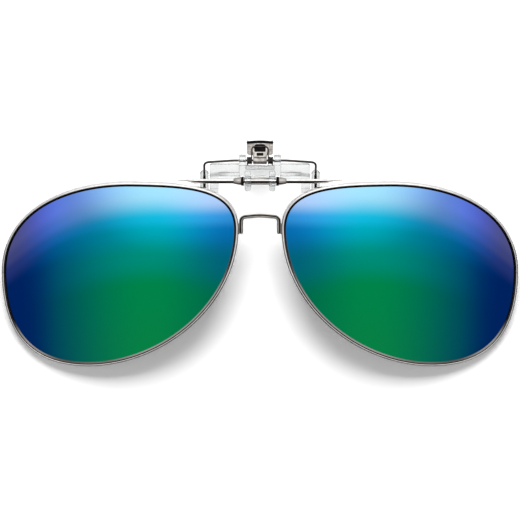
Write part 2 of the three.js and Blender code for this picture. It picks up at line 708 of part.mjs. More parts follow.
function clipGroup() {
  const clip = new THREE.Group();
  clip.add(named('clip_base', clipBaseGeometry(), CLEAR));
  clip.add(named('detent_leaf', detentLeafGeometry(), STEEL));
  return clip;
}

function jawGroup() {
  const jaw = new THREE.Group();
  jaw.add(named('wire_jaw', wireJawGeometry(), STEEL));
  for (const [side, sign] of sides) {
    const sleeve = named(`jaw_sleeve_${side}`, sleeveGeometry(), VINYL);
    sleeve.scale.x = sign;
    jaw.add(sleeve);
  }
  const leverFrame = new THREE.Group();
  leverFrame.position.set(0, AXLE_RISE, -AXLE_DEPTH);
  leverFrame.rotation.x = -LEVER_LEAN;
  leverFrame.add(named('lever', leverGeometry(), STEEL));
  leverFrame.add(named('jaw_spring', springGeometry(), STEEL));
  jaw.add(leverFrame);
  return jaw;
}

// The origin lies on the table under the middle of the whole part
const sunglasses = new THREE.Group();
sunglasses.add(frontGroup(), clipGroup(), jawGroup());
const bounds = new THREE.Box3().setFromObject(sunglasses, true);
const centre = bounds.getCenter(new THREE.Vector3());
sunglasses.position.set(-centre.x, -centre.y, -bounds.min.z);

export default sunglasses;
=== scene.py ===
# Flip-up clip-on sunglasses lying on their back on a white table, seen from above.
# Lengths are in millimetres from the flip's axis; pieces are put in the frame in metres.
import json
import math

import bmesh
import bpy
from mathutils import Color, Matrix, Vector

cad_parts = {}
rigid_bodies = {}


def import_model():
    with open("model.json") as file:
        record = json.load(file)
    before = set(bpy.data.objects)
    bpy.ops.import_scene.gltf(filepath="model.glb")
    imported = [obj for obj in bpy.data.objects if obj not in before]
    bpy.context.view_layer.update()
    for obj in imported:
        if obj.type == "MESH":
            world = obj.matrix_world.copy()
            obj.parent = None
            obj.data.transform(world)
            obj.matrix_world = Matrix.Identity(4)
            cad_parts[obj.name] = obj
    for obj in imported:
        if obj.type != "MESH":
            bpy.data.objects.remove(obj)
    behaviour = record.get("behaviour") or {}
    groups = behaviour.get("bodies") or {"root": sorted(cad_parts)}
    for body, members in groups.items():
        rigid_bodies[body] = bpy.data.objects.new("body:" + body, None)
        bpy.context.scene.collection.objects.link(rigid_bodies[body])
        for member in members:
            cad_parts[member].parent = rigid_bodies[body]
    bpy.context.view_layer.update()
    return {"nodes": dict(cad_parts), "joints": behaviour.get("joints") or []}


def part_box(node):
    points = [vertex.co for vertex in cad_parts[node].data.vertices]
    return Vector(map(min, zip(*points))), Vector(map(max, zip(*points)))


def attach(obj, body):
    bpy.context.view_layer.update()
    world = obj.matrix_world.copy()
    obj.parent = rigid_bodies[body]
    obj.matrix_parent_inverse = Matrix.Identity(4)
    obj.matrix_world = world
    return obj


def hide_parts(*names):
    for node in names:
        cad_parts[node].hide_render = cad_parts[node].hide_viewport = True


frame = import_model()

MM = 0.001
PIVOTS = {joint["name"]: Vector(joint["pos_m"]) for joint in frame["joints"]}
HINGE = PIVOTS["flip"]

# Lens openings and lenses
LENS_WIDTH = 60
LENS_HEIGHT = 47.2
LENS_SPACING = 13.6
LENS_DROP = 1.4
TEMPLE_RISE = -0.2
NOSE_RISE = 12.5
TOP_INSET = 3.5
BOTTOM_OUTSET = 9.9
BASE_CURVE_RADIUS = 120
WRAP_ANGLE = math.radians(6)
LENS_THICKNESS = 1.2
LENS_BEVEL = 0.5
LENS_GUARDS = (0.3, 0.1)  # rings this far inside the edge
COATING_TUCK = 0.02  # of the coating under the rim

# The coating's colour bands sink between these distances from the middle
BAND_START = 25
BAND_END = 66
BAND_SINK = 0.34  # as a share of the lens's height
BAND_CURVE = 2.3

# Colours of the coating and the lip: place on the ramp, red, green and blue on screen; the coating's
# pale top stops are a painted highlight of the overhead panel
COATING_MIDDLE_AND_HIGHLIGHT = (
    (0.1, 6, 120, 64), (0.45, 0, 123, 68), (0.62, 0, 131, 113),
    (0.76, 0, 134, 148), (0.83, 10, 140, 168), (0.96, 114, 160, 180))
COATING_TEMPLE = (
    (0.5, 0, 40, 90), (0.7, 0, 42, 98), (0.79, 0, 58, 124),
    (0.85, 20, 74, 158), (0.92, 48, 86, 190), (1, 76, 96, 214))
COATING_VIOLET = ((0.74, 0, 31, 88), (0.84, 32, 46, 106), (0.9, 56, 62, 114), (0.98, 72, 74, 124))
COATING_NASAL_AND_HIGHLIGHT = (
    (0.38, 0, 97, 70), (0.58, 2, 92, 112), (0.76, 6, 98, 158),
    (0.83, 40, 120, 180), (0.92, 132, 154, 188))
COATING_BLENDS = (  # where each colour comes in, from the middle
    (29, 63.5, COATING_TEMPLE), (52, 65, COATING_VIOLET), (28, 8, COATING_NASAL_AND_HIGHLIGHT))
# The lip's tones are painted shade and painted reflection, set by which way each face turns
LIP_PAINTED_SHADES = (
    (0.28, 14, 13, 13), (0.4, 124, 122, 120), (0.6, 98, 96, 94),
    (0.8, 60, 58, 56), (0.88, 78, 76, 74), (0.96, 138, 136, 134))

# Handles at the start and end of the outline's four curves, as shares of what they span
FULLNESS = ((0.63, 0.55), (0.51, 0.94), (0.565, 0.48), (0.725, 0.635))

# Rims
RIM_WIDTH = 1.2
RIM_LIP = 0.5
RIM_SPLIT = 0.06
RIM_BACK_ROUND = 0.4
RIM_EDGE_ROUND = 0.08
RIM_FOOT = 0.03  # from the opening's edge to the lip's foot
LIP_RISE = 0.38  # of the inner lip above the lens front
LIP_TOP = 0.46  # its crest's distance from the opening's edge
LINE_DEPTH = 0.1  # height of the groove beside the lip, painted dark as shade
LINE_PLACE = 0.56
BEAD_START = 0.66  # the outer bead: flat crest, sloped outside
BEAD_CREST = 0.84
BEAD_ROUND = 0.06
BEAD_SHOULDER = 0.38  # height and place of the break in the slope
BEAD_BREAK = 1.04
BEAD_EDGE = 0.2  # height of the slope's foot
GROOVE_CLEARANCE = 0.1
CREST_SHINE = 0.03  # the painted-shade line's reach over the lip's crest
LIP_UPWARD = 0.8  # shares of a face's turns in the lip's painted shade
LIP_OUTWARD = 1.2
FOOT_SHADE = 0.35  # the slope's foot is painted darker as shade where the rim faces up less

# Closing screws and blocks
SCREW_RADIUS = 0.5
SCREW_HEAD_RADIUS = 0.8
SCREW_HEAD_HEIGHT = 0.5
SCREW_SLOT_WIDTH = 0.28
SCREW_SLOT_DEPTH = 0.22
SCREW_SLOT_REACH = 2
SCREW_SLOT_ROUND = 0.03
SCREW_CHAMFER = 0.1
SCREW_HEAD_CHAMFER = 0.05
SCREW_DOME = ((0.15, 0), (0.04, 0.1), (0, 0.25))  # depth and cut from the radius
BLOCK_ROUND = 0.2  # on the closing blocks' edges

# Brow bar, collars and nose bridge
BAR_RADIUS = 0.6
BAR_REACH = 21.5
BAR_FLAT = 0.1
BAR_RIDGE = 0.4  # the bar's front is a low roof
BAR_RIDGE_RISE = 0.2
BAR_RIDGE_ROUND = 0.06
BAR_EAVE = 0.04
BAR_EAVE_ROUND = 0.1
BAR_FLAT_STEP = 0.04
BAR_EVEN = (8, 13)  # where the even part of the bar is cut
BAR_TIP = (  # place, size and lift of sections of the drawn-in end
    (17.2, 1, 0), (17.8, 0.9, 0.04), (18.4, 0.66, 0.14), (19, 0.5, 0.2),
    (20.3, 0.4, 0.24), (21.2, 0.3, 0.24), (BAR_REACH, 0.16, 0.22))
BRAZE_TUCK = 0.08  # of the brazed web under each tip
BRAZE_LOW_FRONT = 0.34  # the web's front leans from the rim up to the tip
BRAZE_HIGH_FRONT = 0.06
BRAZE_BACK = -0.3
COLLAR_RADIUS = 1.2
COLLAR_LENGTH = 2.7
COLLAR_START = 4.2
COLLAR_FLANGE = ((0, 0.08), (0.03, 0.02), (0.1, 0), (0.55, 0), (0.66, 0.04))  # place, cut from radius
COLLAR_NECK = ((0.74, 0.14), (0.86, 0.17), (1.1, 0.19), (1.7, 0.32))
COLLAR_TIP = ((0.25, 0.14), (0.05, 0.06))  # from the end, over the bar
COLLAR_BORE = 0.98  # as a share of the bar's radius
BRIDGE_RADIUS = 0.52
BRIDGE_DROP = 9
BRIDGE_SAG = 0.45
BRIDGE_BEND = 1.3
BRIDGE_FOOT = 1.3
BRIDGE_SIDES = 48
BRIDGE_LINE = math.radians(64)  # width of the sunk line, painted dark as shade
BRIDGE_LINE_DEPTH = 0.06
BRIDGE_END = 0.8
SOLDER_GAP = 0.1
SOLDER_RADIUS = 0.2
SOLDER_HALF_LENGTH = 1
SOLDER_ROUND = 0.5
SOLDER_SHIFT = 0.05  # from the rim's wall
SOLDER_RISE = 0.1

# Clip base and detent leaf
LUG_INNER = 2.35
LUG_WIDTH = 1.7
LUG_RADIUS = 1.35
HINGE_CLEARANCE = 0.1
TAIL_DROP = 2.9
TAIL_FRONT = 0.75
TAIL_BACK = 1.9
TAIL_ROUND = 0.32
BODY_HALF_WIDTH = 5.5
BODY_BOTTOM = 0.7
BODY_FRONT = 1.2
BODY_BACK = 5.4
BODY_STEP = 2.6
WALL_TOP = 3.9
WALL_THICKNESS = 0.9
EAR_INNER = 3.65
EAR_FRONT = 2
EAR_RISE = 1.45
EAR_ROUND = 0.9
PLATE_FRONT = 3.2
PLATE_THICKNESS = 1.4
ARM_TOP = 3.9
ARM_BOTTOM = -0.3
ARM_ROUND = 0.8
RIB_LOW = 0.5
RIB_HIGH = 2
RIB_DEPTH = 0.6
RIB_SLOPE = 0.4  # how far each side of the rib leans in
RIB_SHADE_RISE = 2.9  # the grey band of painted shade along the ribs: middle, fall and half widths
RIB_SHADE_SLOPE = 0.16
RIB_SHADE_INNER = 0.2
RIB_SHADE_OUTER = 0.8
SHADE_LEVEL = 0.4
LEG_INNER = 10.8
LEG_WIDTH = 2.35
LEG_DROP = 8.5
PAD_LENGTH = 5.8
PAD_DEPTH = 0.3
LEG_ROUND = 0.5
MOULD_ROUND = 0.18  # on every outer edge of the base
INSET = 0.11  # keeps faces of joined solids apart
LEAF_TOP = 0.7
LEAF_DROP = 1.1
LEAF_TUCK = 0.3
LEAF_FRONT = -0.65
LEAF_THICKNESS = 0.2
LEAF_SLOT_CLEARANCE = 0.1
LEAF_ROUND = 0.04

# Wire jaw and sleeves
AXLE_RISE = 4.75
AXLE_DEPTH = 3.8
WIRE_RADIUS = 0.3
WIRE_DROOP = 0.5
WIRE_BEND = 1.4
END_ROUND = 0.1  # of wires and beads
HEEL_TOP = 0.1
HEEL_LENGTH = 3.6
HEEL_BEND = 1.2
SLEEVE_RADIUS = 1.1
SLEEVE_TOP = 1.1
SLEEVE_LIP = 0.35
SLEEVE_CAP = 0.6
SLEEVE_END = 0.5
SLEEVE_CLEARANCE = 0.1
JAW_GAP = 0.2
AXLE_CLEARANCE = 0.1

# Lever and spring, in the lever's own frame: its length runs up from the axle
LEVER_LEAN = math.radians(20)
LEVER_LENGTH = 4.9
LEVER_THICKNESS = 0.5
BARREL_RADIUS = 0.95
BARREL_HALF_WIDTH = 1.8
TAB_HALF_WIDTH = 3.4
TAB_START = 1.4
TAB_ROUND = 0.9
NECK_ROUND = 0.3
TOP_BEAD_RADIUS = 0.4
TOP_BEAD_ARCH = 0.25
TOP_BEAD_FRONT = 0.1
BARREL_BORE = 0.35
BARREL_CHAMFER = 0.1
HORN_RISE = 0.4
HORN_WIDTH = 0.45
HORN_ROUND = 0.15
HORN_FOOT_ROUND = 0.1
STAMP_ROUND = 0.08
SLOT_HALF_WIDTH = 0.9
SLOT_START = 1.2
SLOT_LENGTH = 0.8
SLOT_ROUND = 0.12
SLOT_FLOOR = (0.03, 0.13)  # back and front over the plate's back
SLOT_FLOOR_MARGIN = 0.1
SLOT_FLOOR_ROUND = 0.02
GRIP_RIBS = 6
GRIP_RADIUS = 0.1
GRIP_INNER = 2.48
GRIP_OUTER = 3.2
GRIP_LOW = 2
GRIP_HIGH = 4.15
PAD_HALF_WIDTH = 1.5
PAD_LOW = 2.25
PAD_HIGH = 4.3
PAD_RISE = 0.09
PAD_LOW_ROUND = 0.3
PAD_HIGH_ROUND = 0.8
SPRING_RADIUS = 0.17
COIL_RADIUS = 0.85
COIL_TURNS = 3
COIL_INNER = 2.15
COIL_LENGTH = 1.15
LOOP_LENGTH = 3.6
LOOP_GAP = 0.1
LOOP_BEND = 0.9
LOOP_START = 0.1
SPRING_LEG = 1.5

# How finely curves are cut
OUTLINE_STEPS = 80  # per curve of the outline
LENS_RINGS = 24
WIRE_SIDES = 24
FINE_SIDES = 12  # of the spring and the grip
COIL_STEPS = 32  # per turn
SPRING_LEG_STEPS = 6
CORNER_STEPS = 6
CURVE_STEP = 0.12
RUN_STEP = 0.48
BEND_STEPS = 4  # at least
EDGE_MIDDLE = 0.3  # an eased edge's middle ring, as a share of it
CORNER_EASE = 1.6  # corners are this much rounder than edges
END_TURN = 0.49 * math.pi  # a round end stops just short of its pole
EASE_STEPS = 3
EASE_PROFILE = 0.5
WELD_DISTANCE = 1e-7  # metres
FLAT_ANGLE = math.radians(1)
SMOOTH_ANGLE = math.radians(38)  # edges that turn by more stay sharp

# Materials: noises as grains per metre and detail, relief as strength and depth in metres
SCREEN_WHITE = 255
NOISE_RANGE = (0.3, 0.7)  # holds most of a noise's values
METAL_CLOUDS = (900, 4)
METAL_LINES = (5200, 2)
METAL_RELIEF = (0.06, 0.00002)
COATING_CLOUDS = (260, 4)
COATING_ROUGHNESS = (0.07, 0.11)
LIP_ROUGHNESS = (0.08, 0.14)
TINT_CLOUDS = (120, 2)
TINT_GRAIN = (700, 3)
TINT_ROUGHNESS = (0.05, 0.09)
TINT_TONES = ((24, 30, 32), (30, 37, 38))
RESIN_FLOW = 0.2  # what the flow marks add to the tone
RESIN_TONES = (0.1, 0.85)  # of a face seen square on and edge on, the edge-on grey being painted shade
RESIN_DEPTH = 0.00005
TABLE_CLOUDS = (40, 2)
TABLE_WHITES = ((0.97, 0.97, 0.97, 1), (0.99, 0.99, 0.99, 1))
WHITE = (1, 1, 1, 1)

# View of the photograph, its middle under and behind the hinge
VIEW_TILT = math.radians(12)
VIEW_DROP = 20.5
VIEW_DEPTH = 8
VIEW_WIDTH = 136.2
CAMERA_LENS = 300
SENSOR = 36

# Table and light, in metres and watts
FLOOR_SIZE = 6
TABLE_LEAN = math.radians(9)  # the photograph's shadow widens to the nose
FLOOR_GLOW = 0.17
FILL = 0.31
KEY_POWER = 85
KEY_DISTANCE = 2.5
KEY_WIDTH = 1.7
KEY_HEIGHT = 1.35
KEY_ELEVATION = math.radians(33)
PLAIN_LEVEL = 1.15  # the studio in reflections
PANEL_LEVEL = 1.1  # what the overhead panel adds
PANEL_TILT = math.radians(22)  # from straight up towards the brow
PANEL_SPREAD = (math.radians(6), math.radians(30))  # full within, gone past
BROW_LEVEL = 1.1  # what the wall beyond the brow adds
BROW_TILT = math.radians(55)
BROW_SPREAD = (math.radians(20), math.radians(48))
DARK_LEVEL = 0.03  # left of the studio low on the other sides
DARK_AXIS = (0, 0.6, 1)  # darker low along this axis
DARK_RANGE = (0.2, 0.38)


# Mesh helpers

def bezier(a, b, c, d, t):
    s = 1 - t
    return a * s ** 3 + b * 3 * s * s * t + c * 3 * s * t * t + d * t ** 3


def rounded(corners):
    """The closed outline through corners (x, y, round), each one curved over its round."""
    outline = []
    count = len(corners)
    for i, (x, y, cut) in enumerate(corners):
        corner = Vector((x, y))
        if cut == 0:
            outline.append(corner)
            continue
        before = Vector(corners[i - 1][:2]) - corner
        after = Vector(corners[(i + 1) % count][:2]) - corner
        enter = corner + before.normalized() * cut
        leave = corner + after.normalized() * cut
        for k in range(CORNER_STEPS + 1):
            t = k / CORNER_STEPS
            outline.append(enter.lerp(corner, t).lerp(corner.lerp(leave, t), t))
    return outline


def symmetric(right):
    """The closed outline whose right half has these corners."""
    return rounded(right + [(-x, y, cut) for x, y, cut in reversed(right)])


def bent_path(points, bends):
    """Straight runs between the points, each inner corner rounded over its bend."""
    path = [points[0]]
    for before, corner, after, bend in zip(points, points[1:], points[2:], bends):
        enter = corner + (before - corner).normalized() * bend
        leave = corner + (after - corner).normalized() * bend
        add_run(path, enter)
        steps = max(BEND_STEPS, round(2 * bend / CURVE_STEP))
        for k in range(1, steps + 1):
            t = k / steps
            path.append(enter.lerp(corner, t).lerp(corner.lerp(leave, t), t))
    add_run(path, points[-1])
    return path


def add_run(path, end):
    start = path[-1]
    steps = max(1, round((end - start).length / RUN_STEP))
    path.extend(start.lerp(end, k / steps) for k in range(1, steps + 1))


def mirror_point(point):
    return Vector((-point.x, point.y, point.z))


class Shape:
    """Points and faces of a piece, in millimetres. marks holds each face's material slot."""

    def __init__(self):
        self.points = []
        self.faces = []
        self.marks = []

    def sweep(self, rings, loop=False, mark=0):
        """A skin over rings of equal length, closed at both ends unless it loops."""
        first = len(self.points)
        size = len(rings[0])
        for ring in rings:
            self.points.extend(ring)
        rows = len(rings)
        for i in range(rows if loop else rows - 1):
            low = first + i * size
            high = first + (i + 1) % rows * size
            for j in range(size):
                k = (j + 1) % size
                self.faces.append((low + j, low + k, high + k, high + j))
        if not loop:
            self.faces.append(tuple(range(first, first + size)))
            self.faces.append(tuple(range(first + (rows - 1) * size, first + rows * size)))
        self.marks.extend([mark] * (len(self.faces) - len(self.marks)))
        return self

    def add(self, other, mark):
        """Another shape beside this one, with that mark on all of it."""
        first = len(self.points)
        self.points.extend(other.points)
        self.faces.extend(tuple(first + k for k in face) for face in other.faces)
        self.marks.extend([mark] * len(other.faces))

    def moved(self, matrix):
        self.points = [matrix @ point for point in self.points]
        return self

    def mirrored(self):
        other = Shape()
        other.points = [mirror_point(point) for point in self.points]
        other.faces = [tuple(reversed(face)) for face in self.faces]
        other.marks = list(self.marks)
        return other


def turns(sides):
    return [math.tau * k / sides for k in range(sides)]


def tube_rings(path, radius, sides=WIRE_SIDES, start_round=0, end_round=0):
    """Circles along a path, without twist; a round end draws in over that length."""
    count = len(path)
    tangents = [(path[min(i + 1, count - 1)] - path[max(i - 1, 0)]).normalized() for i in range(count)]
    normal = tangents[0].orthogonal().normalized()
    frames = []
    for tangent in tangents:
        normal = (normal - tangent * normal.dot(tangent)).normalized()
        frames.append((normal.copy(), tangent.cross(normal)))

    def circle(i, size, shift=0):
        across, up = frames[i]
        centre = path[i] + tangents[i] * shift
        return [centre + across * math.cos(a) * size + up * math.sin(a) * size for a in turns(sides)]

    def end(i, length):
        angles = [END_TURN * k / CORNER_STEPS for k in range(1, CORNER_STEPS + 1)]
        return [circle(i, radius * math.cos(a), length * math.sin(a)) for a in angles]

    rings = [circle(i, radius) for i in range(count)]
    if start_round:
        rings = end(0, -start_round)[::-1] + rings
    if end_round:
        rings = rings + end(-1, end_round)
    return rings


def lathe_rings(profile, sides=WIRE_SIDES):
    """Circles round the x axis; the profile lists (x, radius)."""
    return [[Vector((x, r * math.cos(a), r * math.sin(a))) for a in turns(sides)] for x, r in profile]


def eased(low, high, edge):
    """Places from low to high, and how far the eased edges cut in there."""
    middle = edge * EDGE_MIDDLE
    return [
        (low, edge), (low + middle, middle), (low + edge, 0),
        (high - edge, 0), (high - middle, middle), (high, edge)]


def plate_rings(outline, back, front, edge):
    """A flat plate's outlines from back to front, with eased edges."""
    count = len(outline)
    side = 1 if sum(outline[i - 1].cross(outline[i]) for i in range(count)) > 0 else -1

    def inset(amount):
        moved = []
        for i in range(count):
            along = (outline[(i + 1) % count] - outline[i - 1]).normalized()
            moved.append(outline[i] + Vector((-along.y, along.x)) * amount * side)
        return moved

    rings = []
    for depth, cut in eased(back, front, edge):
        rings.append([Vector((p.x, p.y, depth)) for p in (inset(cut) if cut else outline)])
    return rings


ALONG_X = Matrix(((0, 0, 1, 0), (1, 0, 0, 0), (0, 1, 0, 0), (0, 0, 0, 1)))


def prism(outline, x0, x1, edge):
    """A plate that runs along x, from an outline (y, z)."""
    return Shape().sweep(plate_rings(outline, x0, x1, edge)).moved(ALONG_X)


def block(low, high, edge):
    """A box with rounded edges."""
    corners = ((low[0], low[1]), (high[0], low[1]), (high[0], high[1]), (low[0], high[1]))
    outline = rounded([(x, y, CORNER_EASE * edge) for x, y in corners])
    return Shape().sweep(plate_rings(outline, low[2], high[2], edge))


def rod(radius, x0, x1, y=0, z=0, edge=0):
    """A round rod along x; its ends are eased where an edge is given."""
    profile = [(x0, radius), (x1, radius)]
    if edge:
        profile = [(x, radius - cut) for x, cut in eased(x0, x1, edge)]
    return Shape().sweep(lathe_rings(profile, 2 * WIRE_SIDES)).moved(Matrix.Translation((0, y, z)))


def both(shape):
    return [shape, shape.mirrored()]


def scratch_object(shape):
    mesh = bpy.data.meshes.new("scratch")
    mesh.from_pydata(shape.points, [], shape.faces)
    turn_outward(mesh)
    scratch = bpy.data.objects.new("scratch", mesh)
    bpy.context.scene.collection.objects.link(scratch)
    return scratch


def combined(shape, others, operation):
    """The shape with the others joined to it or cut from it."""
    target = scratch_object(shape)
    tools = [scratch_object(other) for other in others]
    for tool in tools:
        step = target.modifiers.new("step", "BOOLEAN")
        step.operation = operation
        step.solver = "EXACT"
        step.object = tool
    evaluated = target.evaluated_get(bpy.context.evaluated_depsgraph_get())
    mesh = bpy.data.meshes.new_from_object(evaluated)
    result = Shape()
    result.points = [vertex.co.copy() for vertex in mesh.vertices]
    result.faces = [tuple(face.vertices) for face in mesh.polygons]
    result.marks = [0] * len(result.faces)
    for scratch in [target, *tools]:
        bpy.data.objects.remove(scratch)
    return result


def turn_outward(mesh):
    builder = bmesh.new()
    builder.from_mesh(mesh)
    bmesh.ops.recalc_face_normals(builder, faces=builder.faces)
    builder.to_mesh(mesh)
    builder.free()


def add_piece(name, shape, materials, body):
    """One object that rides on the body and stands for the node of that name."""
    mesh = bpy.data.meshes.new(name)
    mesh.from_pydata([HINGE + point * MM for point in shape.points], [], shape.faces)
    for material in materials:
        mesh.materials.append(material)
    mesh.polygons.foreach_set("material_index", shape.marks)
    return finish_piece(name, mesh, body)


def finish_piece(name, mesh, body):
    turn_outward(mesh)
    mesh.shade_smooth()
    mesh.set_sharp_from_angle(angle=SMOOTH_ANGLE)
    piece = bpy.data.objects.new("fine_" + name, mesh)
    bpy.context.scene.collection.objects.link(piece)
    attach(piece, body)
    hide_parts(name)
    return piece


# Materials

def new_material(name):
    material = bpy.data.materials.new(name)
    material.use_nodes = True
    tree = material.node_tree
    return material, tree, tree.nodes["Principled BSDF"]


def fill(node, values):
    """Sets the node's inputs; a value that is another node's output is linked."""
    for key, value in dict(values).items():
        if isinstance(value, bpy.types.NodeSocket):
            node.id_data.links.new(value, node.inputs[key])
        else:
            node.inputs[key].default_value = value


def add_node(tree, kind, values=(), **settings):
    node = tree.nodes.new(kind)
    for key, value in settings.items():
        setattr(node, key, value)
    fill(node, values)
    return node


def srgb(*levels):
    """A colour as it shows on screen, 0 to 255, in the linear values of shaders."""
    shares = Color([level / SCREEN_WHITE for level in levels])
    return (*shares.from_srgb_to_scene_linear(), 1)


def ramp(tree, factor, stops):
    node = add_node(tree, "ShaderNodeValToRGB", {"Fac": factor})
    node.color_ramp.interpolation = "EASE"
    elements = node.color_ramp.elements
    while len(elements) < len(stops):
        elements.new(1)
    for element, (place, colour) in zip(elements, stops):
        element.position = place
        element.color = colour
    return node.outputs["Color"]


def screen_ramp(tree, factor, stops):
    return ramp(tree, factor, [(place, srgb(*levels)) for place, *levels in stops])


def position(tree):
    return tree.nodes.new("ShaderNodeTexCoord").outputs["Object"]


def separate(tree, vector):
    return add_node(tree, "ShaderNodeSeparateXYZ", {"Vector": vector}).outputs


def noise(tree, scale, detail, stretch=(1, 1, 1)):
    """Noise in object space; stretch gives each axis its own share of the scale."""
    place = add_node(tree, "ShaderNodeMapping", {"Vector": position(tree), "Scale": stretch})
    values = {"Vector": place.outputs["Vector"], "Scale": scale, "Detail": detail}
    return add_node(tree, "ShaderNodeTexNoise", values).outputs["Fac"]


def cloudy(tree, clouds, dark, pale):
    return screen_ramp(tree, noise(tree, *clouds), [(NOISE_RANGE[0], *dark), (NOISE_RANGE[1], *pale)])


def spread(tree, factor, low, high, start=0, end=1, smooth=False):
    """The factor's stretch from start to end, drawn out from low to high."""
    values = {"Value": factor, "From Min": start, "From Max": end, "To Min": low, "To Max": high}
    kind = "SMOOTHSTEP" if smooth else "LINEAR"
    return add_node(tree, "ShaderNodeMapRange", values, interpolation_type=kind).outputs["Result"]


def maths(tree, operation, *values):
    return add_node(tree, "ShaderNodeMath", enumerate(values), operation=operation).outputs["Value"]


def mix(tree, kind, share, first, second):
    values = {"Factor": share, "A": first, "B": second}
    return add_node(tree, "ShaderNodeMix", values, data_type=kind).outputs["Result"]


def bump(tree, height, strength, depth):
    values = {"Height": height, "Strength": strength, "Distance": depth}
    return add_node(tree, "ShaderNodeBump", values).outputs["Normal"]


def bare_metal(name, rough_low, rough_high, stretch=(1, 1, 1)):
    """Metal with fine drawing lines, without its tone."""
    material, tree, shader = new_material(name)
    lines = noise(tree, *METAL_LINES, stretch)
    fill(shader, {
        "Metallic": 1,
        "Roughness": spread(tree, lines, rough_low, rough_high, *NOISE_RANGE),
        "Normal": bump(tree, lines, *METAL_RELIEF)})
    return material, tree, shader


def metal(name, dark, pale, *finish):
    """Bright metal of a cloudy tone."""
    material, tree, shader = bare_metal(name, *finish)
    fill(shader, {"Base Color": cloudy(tree, METAL_CLOUDS, dark, pale)})
    return material


def lip_painted_shade():
    """The lip's slope in painted shade and painted reflection: black along the top and the temple,
    brightest at the nose.
    """
    material, tree, shader = bare_metal("lip_painted_shade", *LIP_ROUGHNESS)
    facing = separate(tree, tree.nodes.new("ShaderNodeTexCoord").outputs["Normal"])
    side = maths(tree, "SIGN", separate(tree, position(tree))["X"])
    outward = maths(tree, "MULTIPLY", facing["X"], side)
    upward = maths(tree, "MULTIPLY", facing["Y"], LIP_UPWARD)
    turn = spread(tree, maths(tree, "MULTIPLY_ADD", outward, LIP_OUTWARD, upward), 0, 1, -1, 1)
    fill(shader, {"Base Color": screen_ramp(tree, turn, LIP_PAINTED_SHADES)})
    return material


def mirror_coating():
    """Green below, cyan above, blue at the nose and navy to violet at the temple, painted in place for
    the coating's shift with viewing angle; the palest top is a painted highlight.
    """
    material, tree, shader = new_material("mirror_coating")
    axes = separate(tree, position(tree))
    across = maths(tree, "ABSOLUTE", axes["X"])
    low = HINGE.y - (LENS_DROP + LENS_HEIGHT) * MM
    height = spread(tree, axes["Y"], 0, 1, low, low + LENS_HEIGHT * MM)
    reach = spread(tree, across, 0, 1, BAND_START * MM, BAND_END * MM)
    sink = maths(tree, "MULTIPLY", maths(tree, "POWER", reach, BAND_CURVE), BAND_SINK)
    height = maths(tree, "ADD", height, sink)
    blend = screen_ramp(tree, height, COATING_MIDDLE_AND_HIGHLIGHT)
    for start, end, stops in COATING_BLENDS:
        share = spread(tree, across, 0, 1, start * MM, end * MM, smooth=True)
        blend = mix(tree, "RGBA", share, blend, screen_ramp(tree, height, stops))
    clouds = noise(tree, *COATING_CLOUDS)
    fill(shader, {
        "Metallic": 1,
        "Base Color": blend,
        "Roughness": spread(tree, clouds, *COATING_ROUGHNESS, *NOISE_RANGE)})
    return material


def tinted_plastic():
    """The lens body behind the coating: smoke-dark plastic."""
    material, tree, shader = new_material("tinted_plastic")
    grain = noise(tree, *TINT_GRAIN)
    fill(shader, {
        "Base Color": cloudy(tree, TINT_CLOUDS, *TINT_TONES),
        "Roughness": spread(tree, grain, *TINT_ROUGHNESS, *NOISE_RANGE)})
    return material


def rib_painted_shade(tree):
    """1 along the arms' ribs, which fall a little outward, and 0 elsewhere: the mask of a painted shade.
    """
    axes = separate(tree, position(tree))
    across = maths(tree, "ABSOLUTE", axes["X"])
    middle = HINGE.y + RIB_SHADE_RISE * MM
    crest = maths(tree, "MULTIPLY_ADD", across, -RIB_SHADE_SLOPE, middle)
    away = maths(tree, "ABSOLUTE", maths(tree, "SUBTRACT", axes["Y"], crest))
    band = spread(tree, away, 1, 0, RIB_SHADE_INNER * MM, RIB_SHADE_OUTER * MM, smooth=True)
    reach = spread(tree, across, 0, 1, BODY_HALF_WIDTH * MM, LEG_INNER * MM, smooth=True)
    return maths(tree, "MULTIPLY", band, reach)


def clear_resin(name, edge_tint, face_tint, rough_low, rough_high, grain, relief, ior, shade=None):
    """Clear plastic with faint flow marks, painted greyer where it is seen edge on as shade for its
    edges.
    """
    material, tree, shader = new_material(name)
    flow = noise(tree, *grain)
    facing = tree.nodes.new("ShaderNodeLayerWeight").outputs["Facing"]
    tone = maths(tree, "ADD", spread(tree, flow, 0, RESIN_FLOW, *NOISE_RANGE), facing)
    if shade:
        tone = maths(tree, "MULTIPLY_ADD", shade(tree), SHADE_LEVEL, tone)
    fill(shader, {
        "Transmission Weight": 1,
        "IOR": ior,
        "Base Color": ramp(tree, tone, tuple(zip(RESIN_TONES, (face_tint, edge_tint)))),
        "Roughness": spread(tree, flow, rough_low, rough_high, *NOISE_RANGE),
        "Normal": bump(tree, flow, relief, RESIN_DEPTH)})
    return material


SILVER = metal("silver_metal", (178, 176, 175), (192, 190, 188), 0.07, 0.13)
POLISHED = metal("polished_metal", (132, 128, 125), (150, 146, 142), 0.06, 0.11)
# Painted shade for the rim's foot
FOOT_PAINTED_SHADE = metal("foot_painted_shade_metal", (90, 88, 86), (106, 104, 102), 0.08, 0.14)
LIP = lip_painted_shade()
STEEL = metal("bright_steel", (44, 42, 41), (62, 59, 57), 0.10, 0.18)
BRUSHED = metal("brushed_steel", (112, 108, 104), (152, 148, 143), 0.18, 0.34, (0.15, 1, 1))
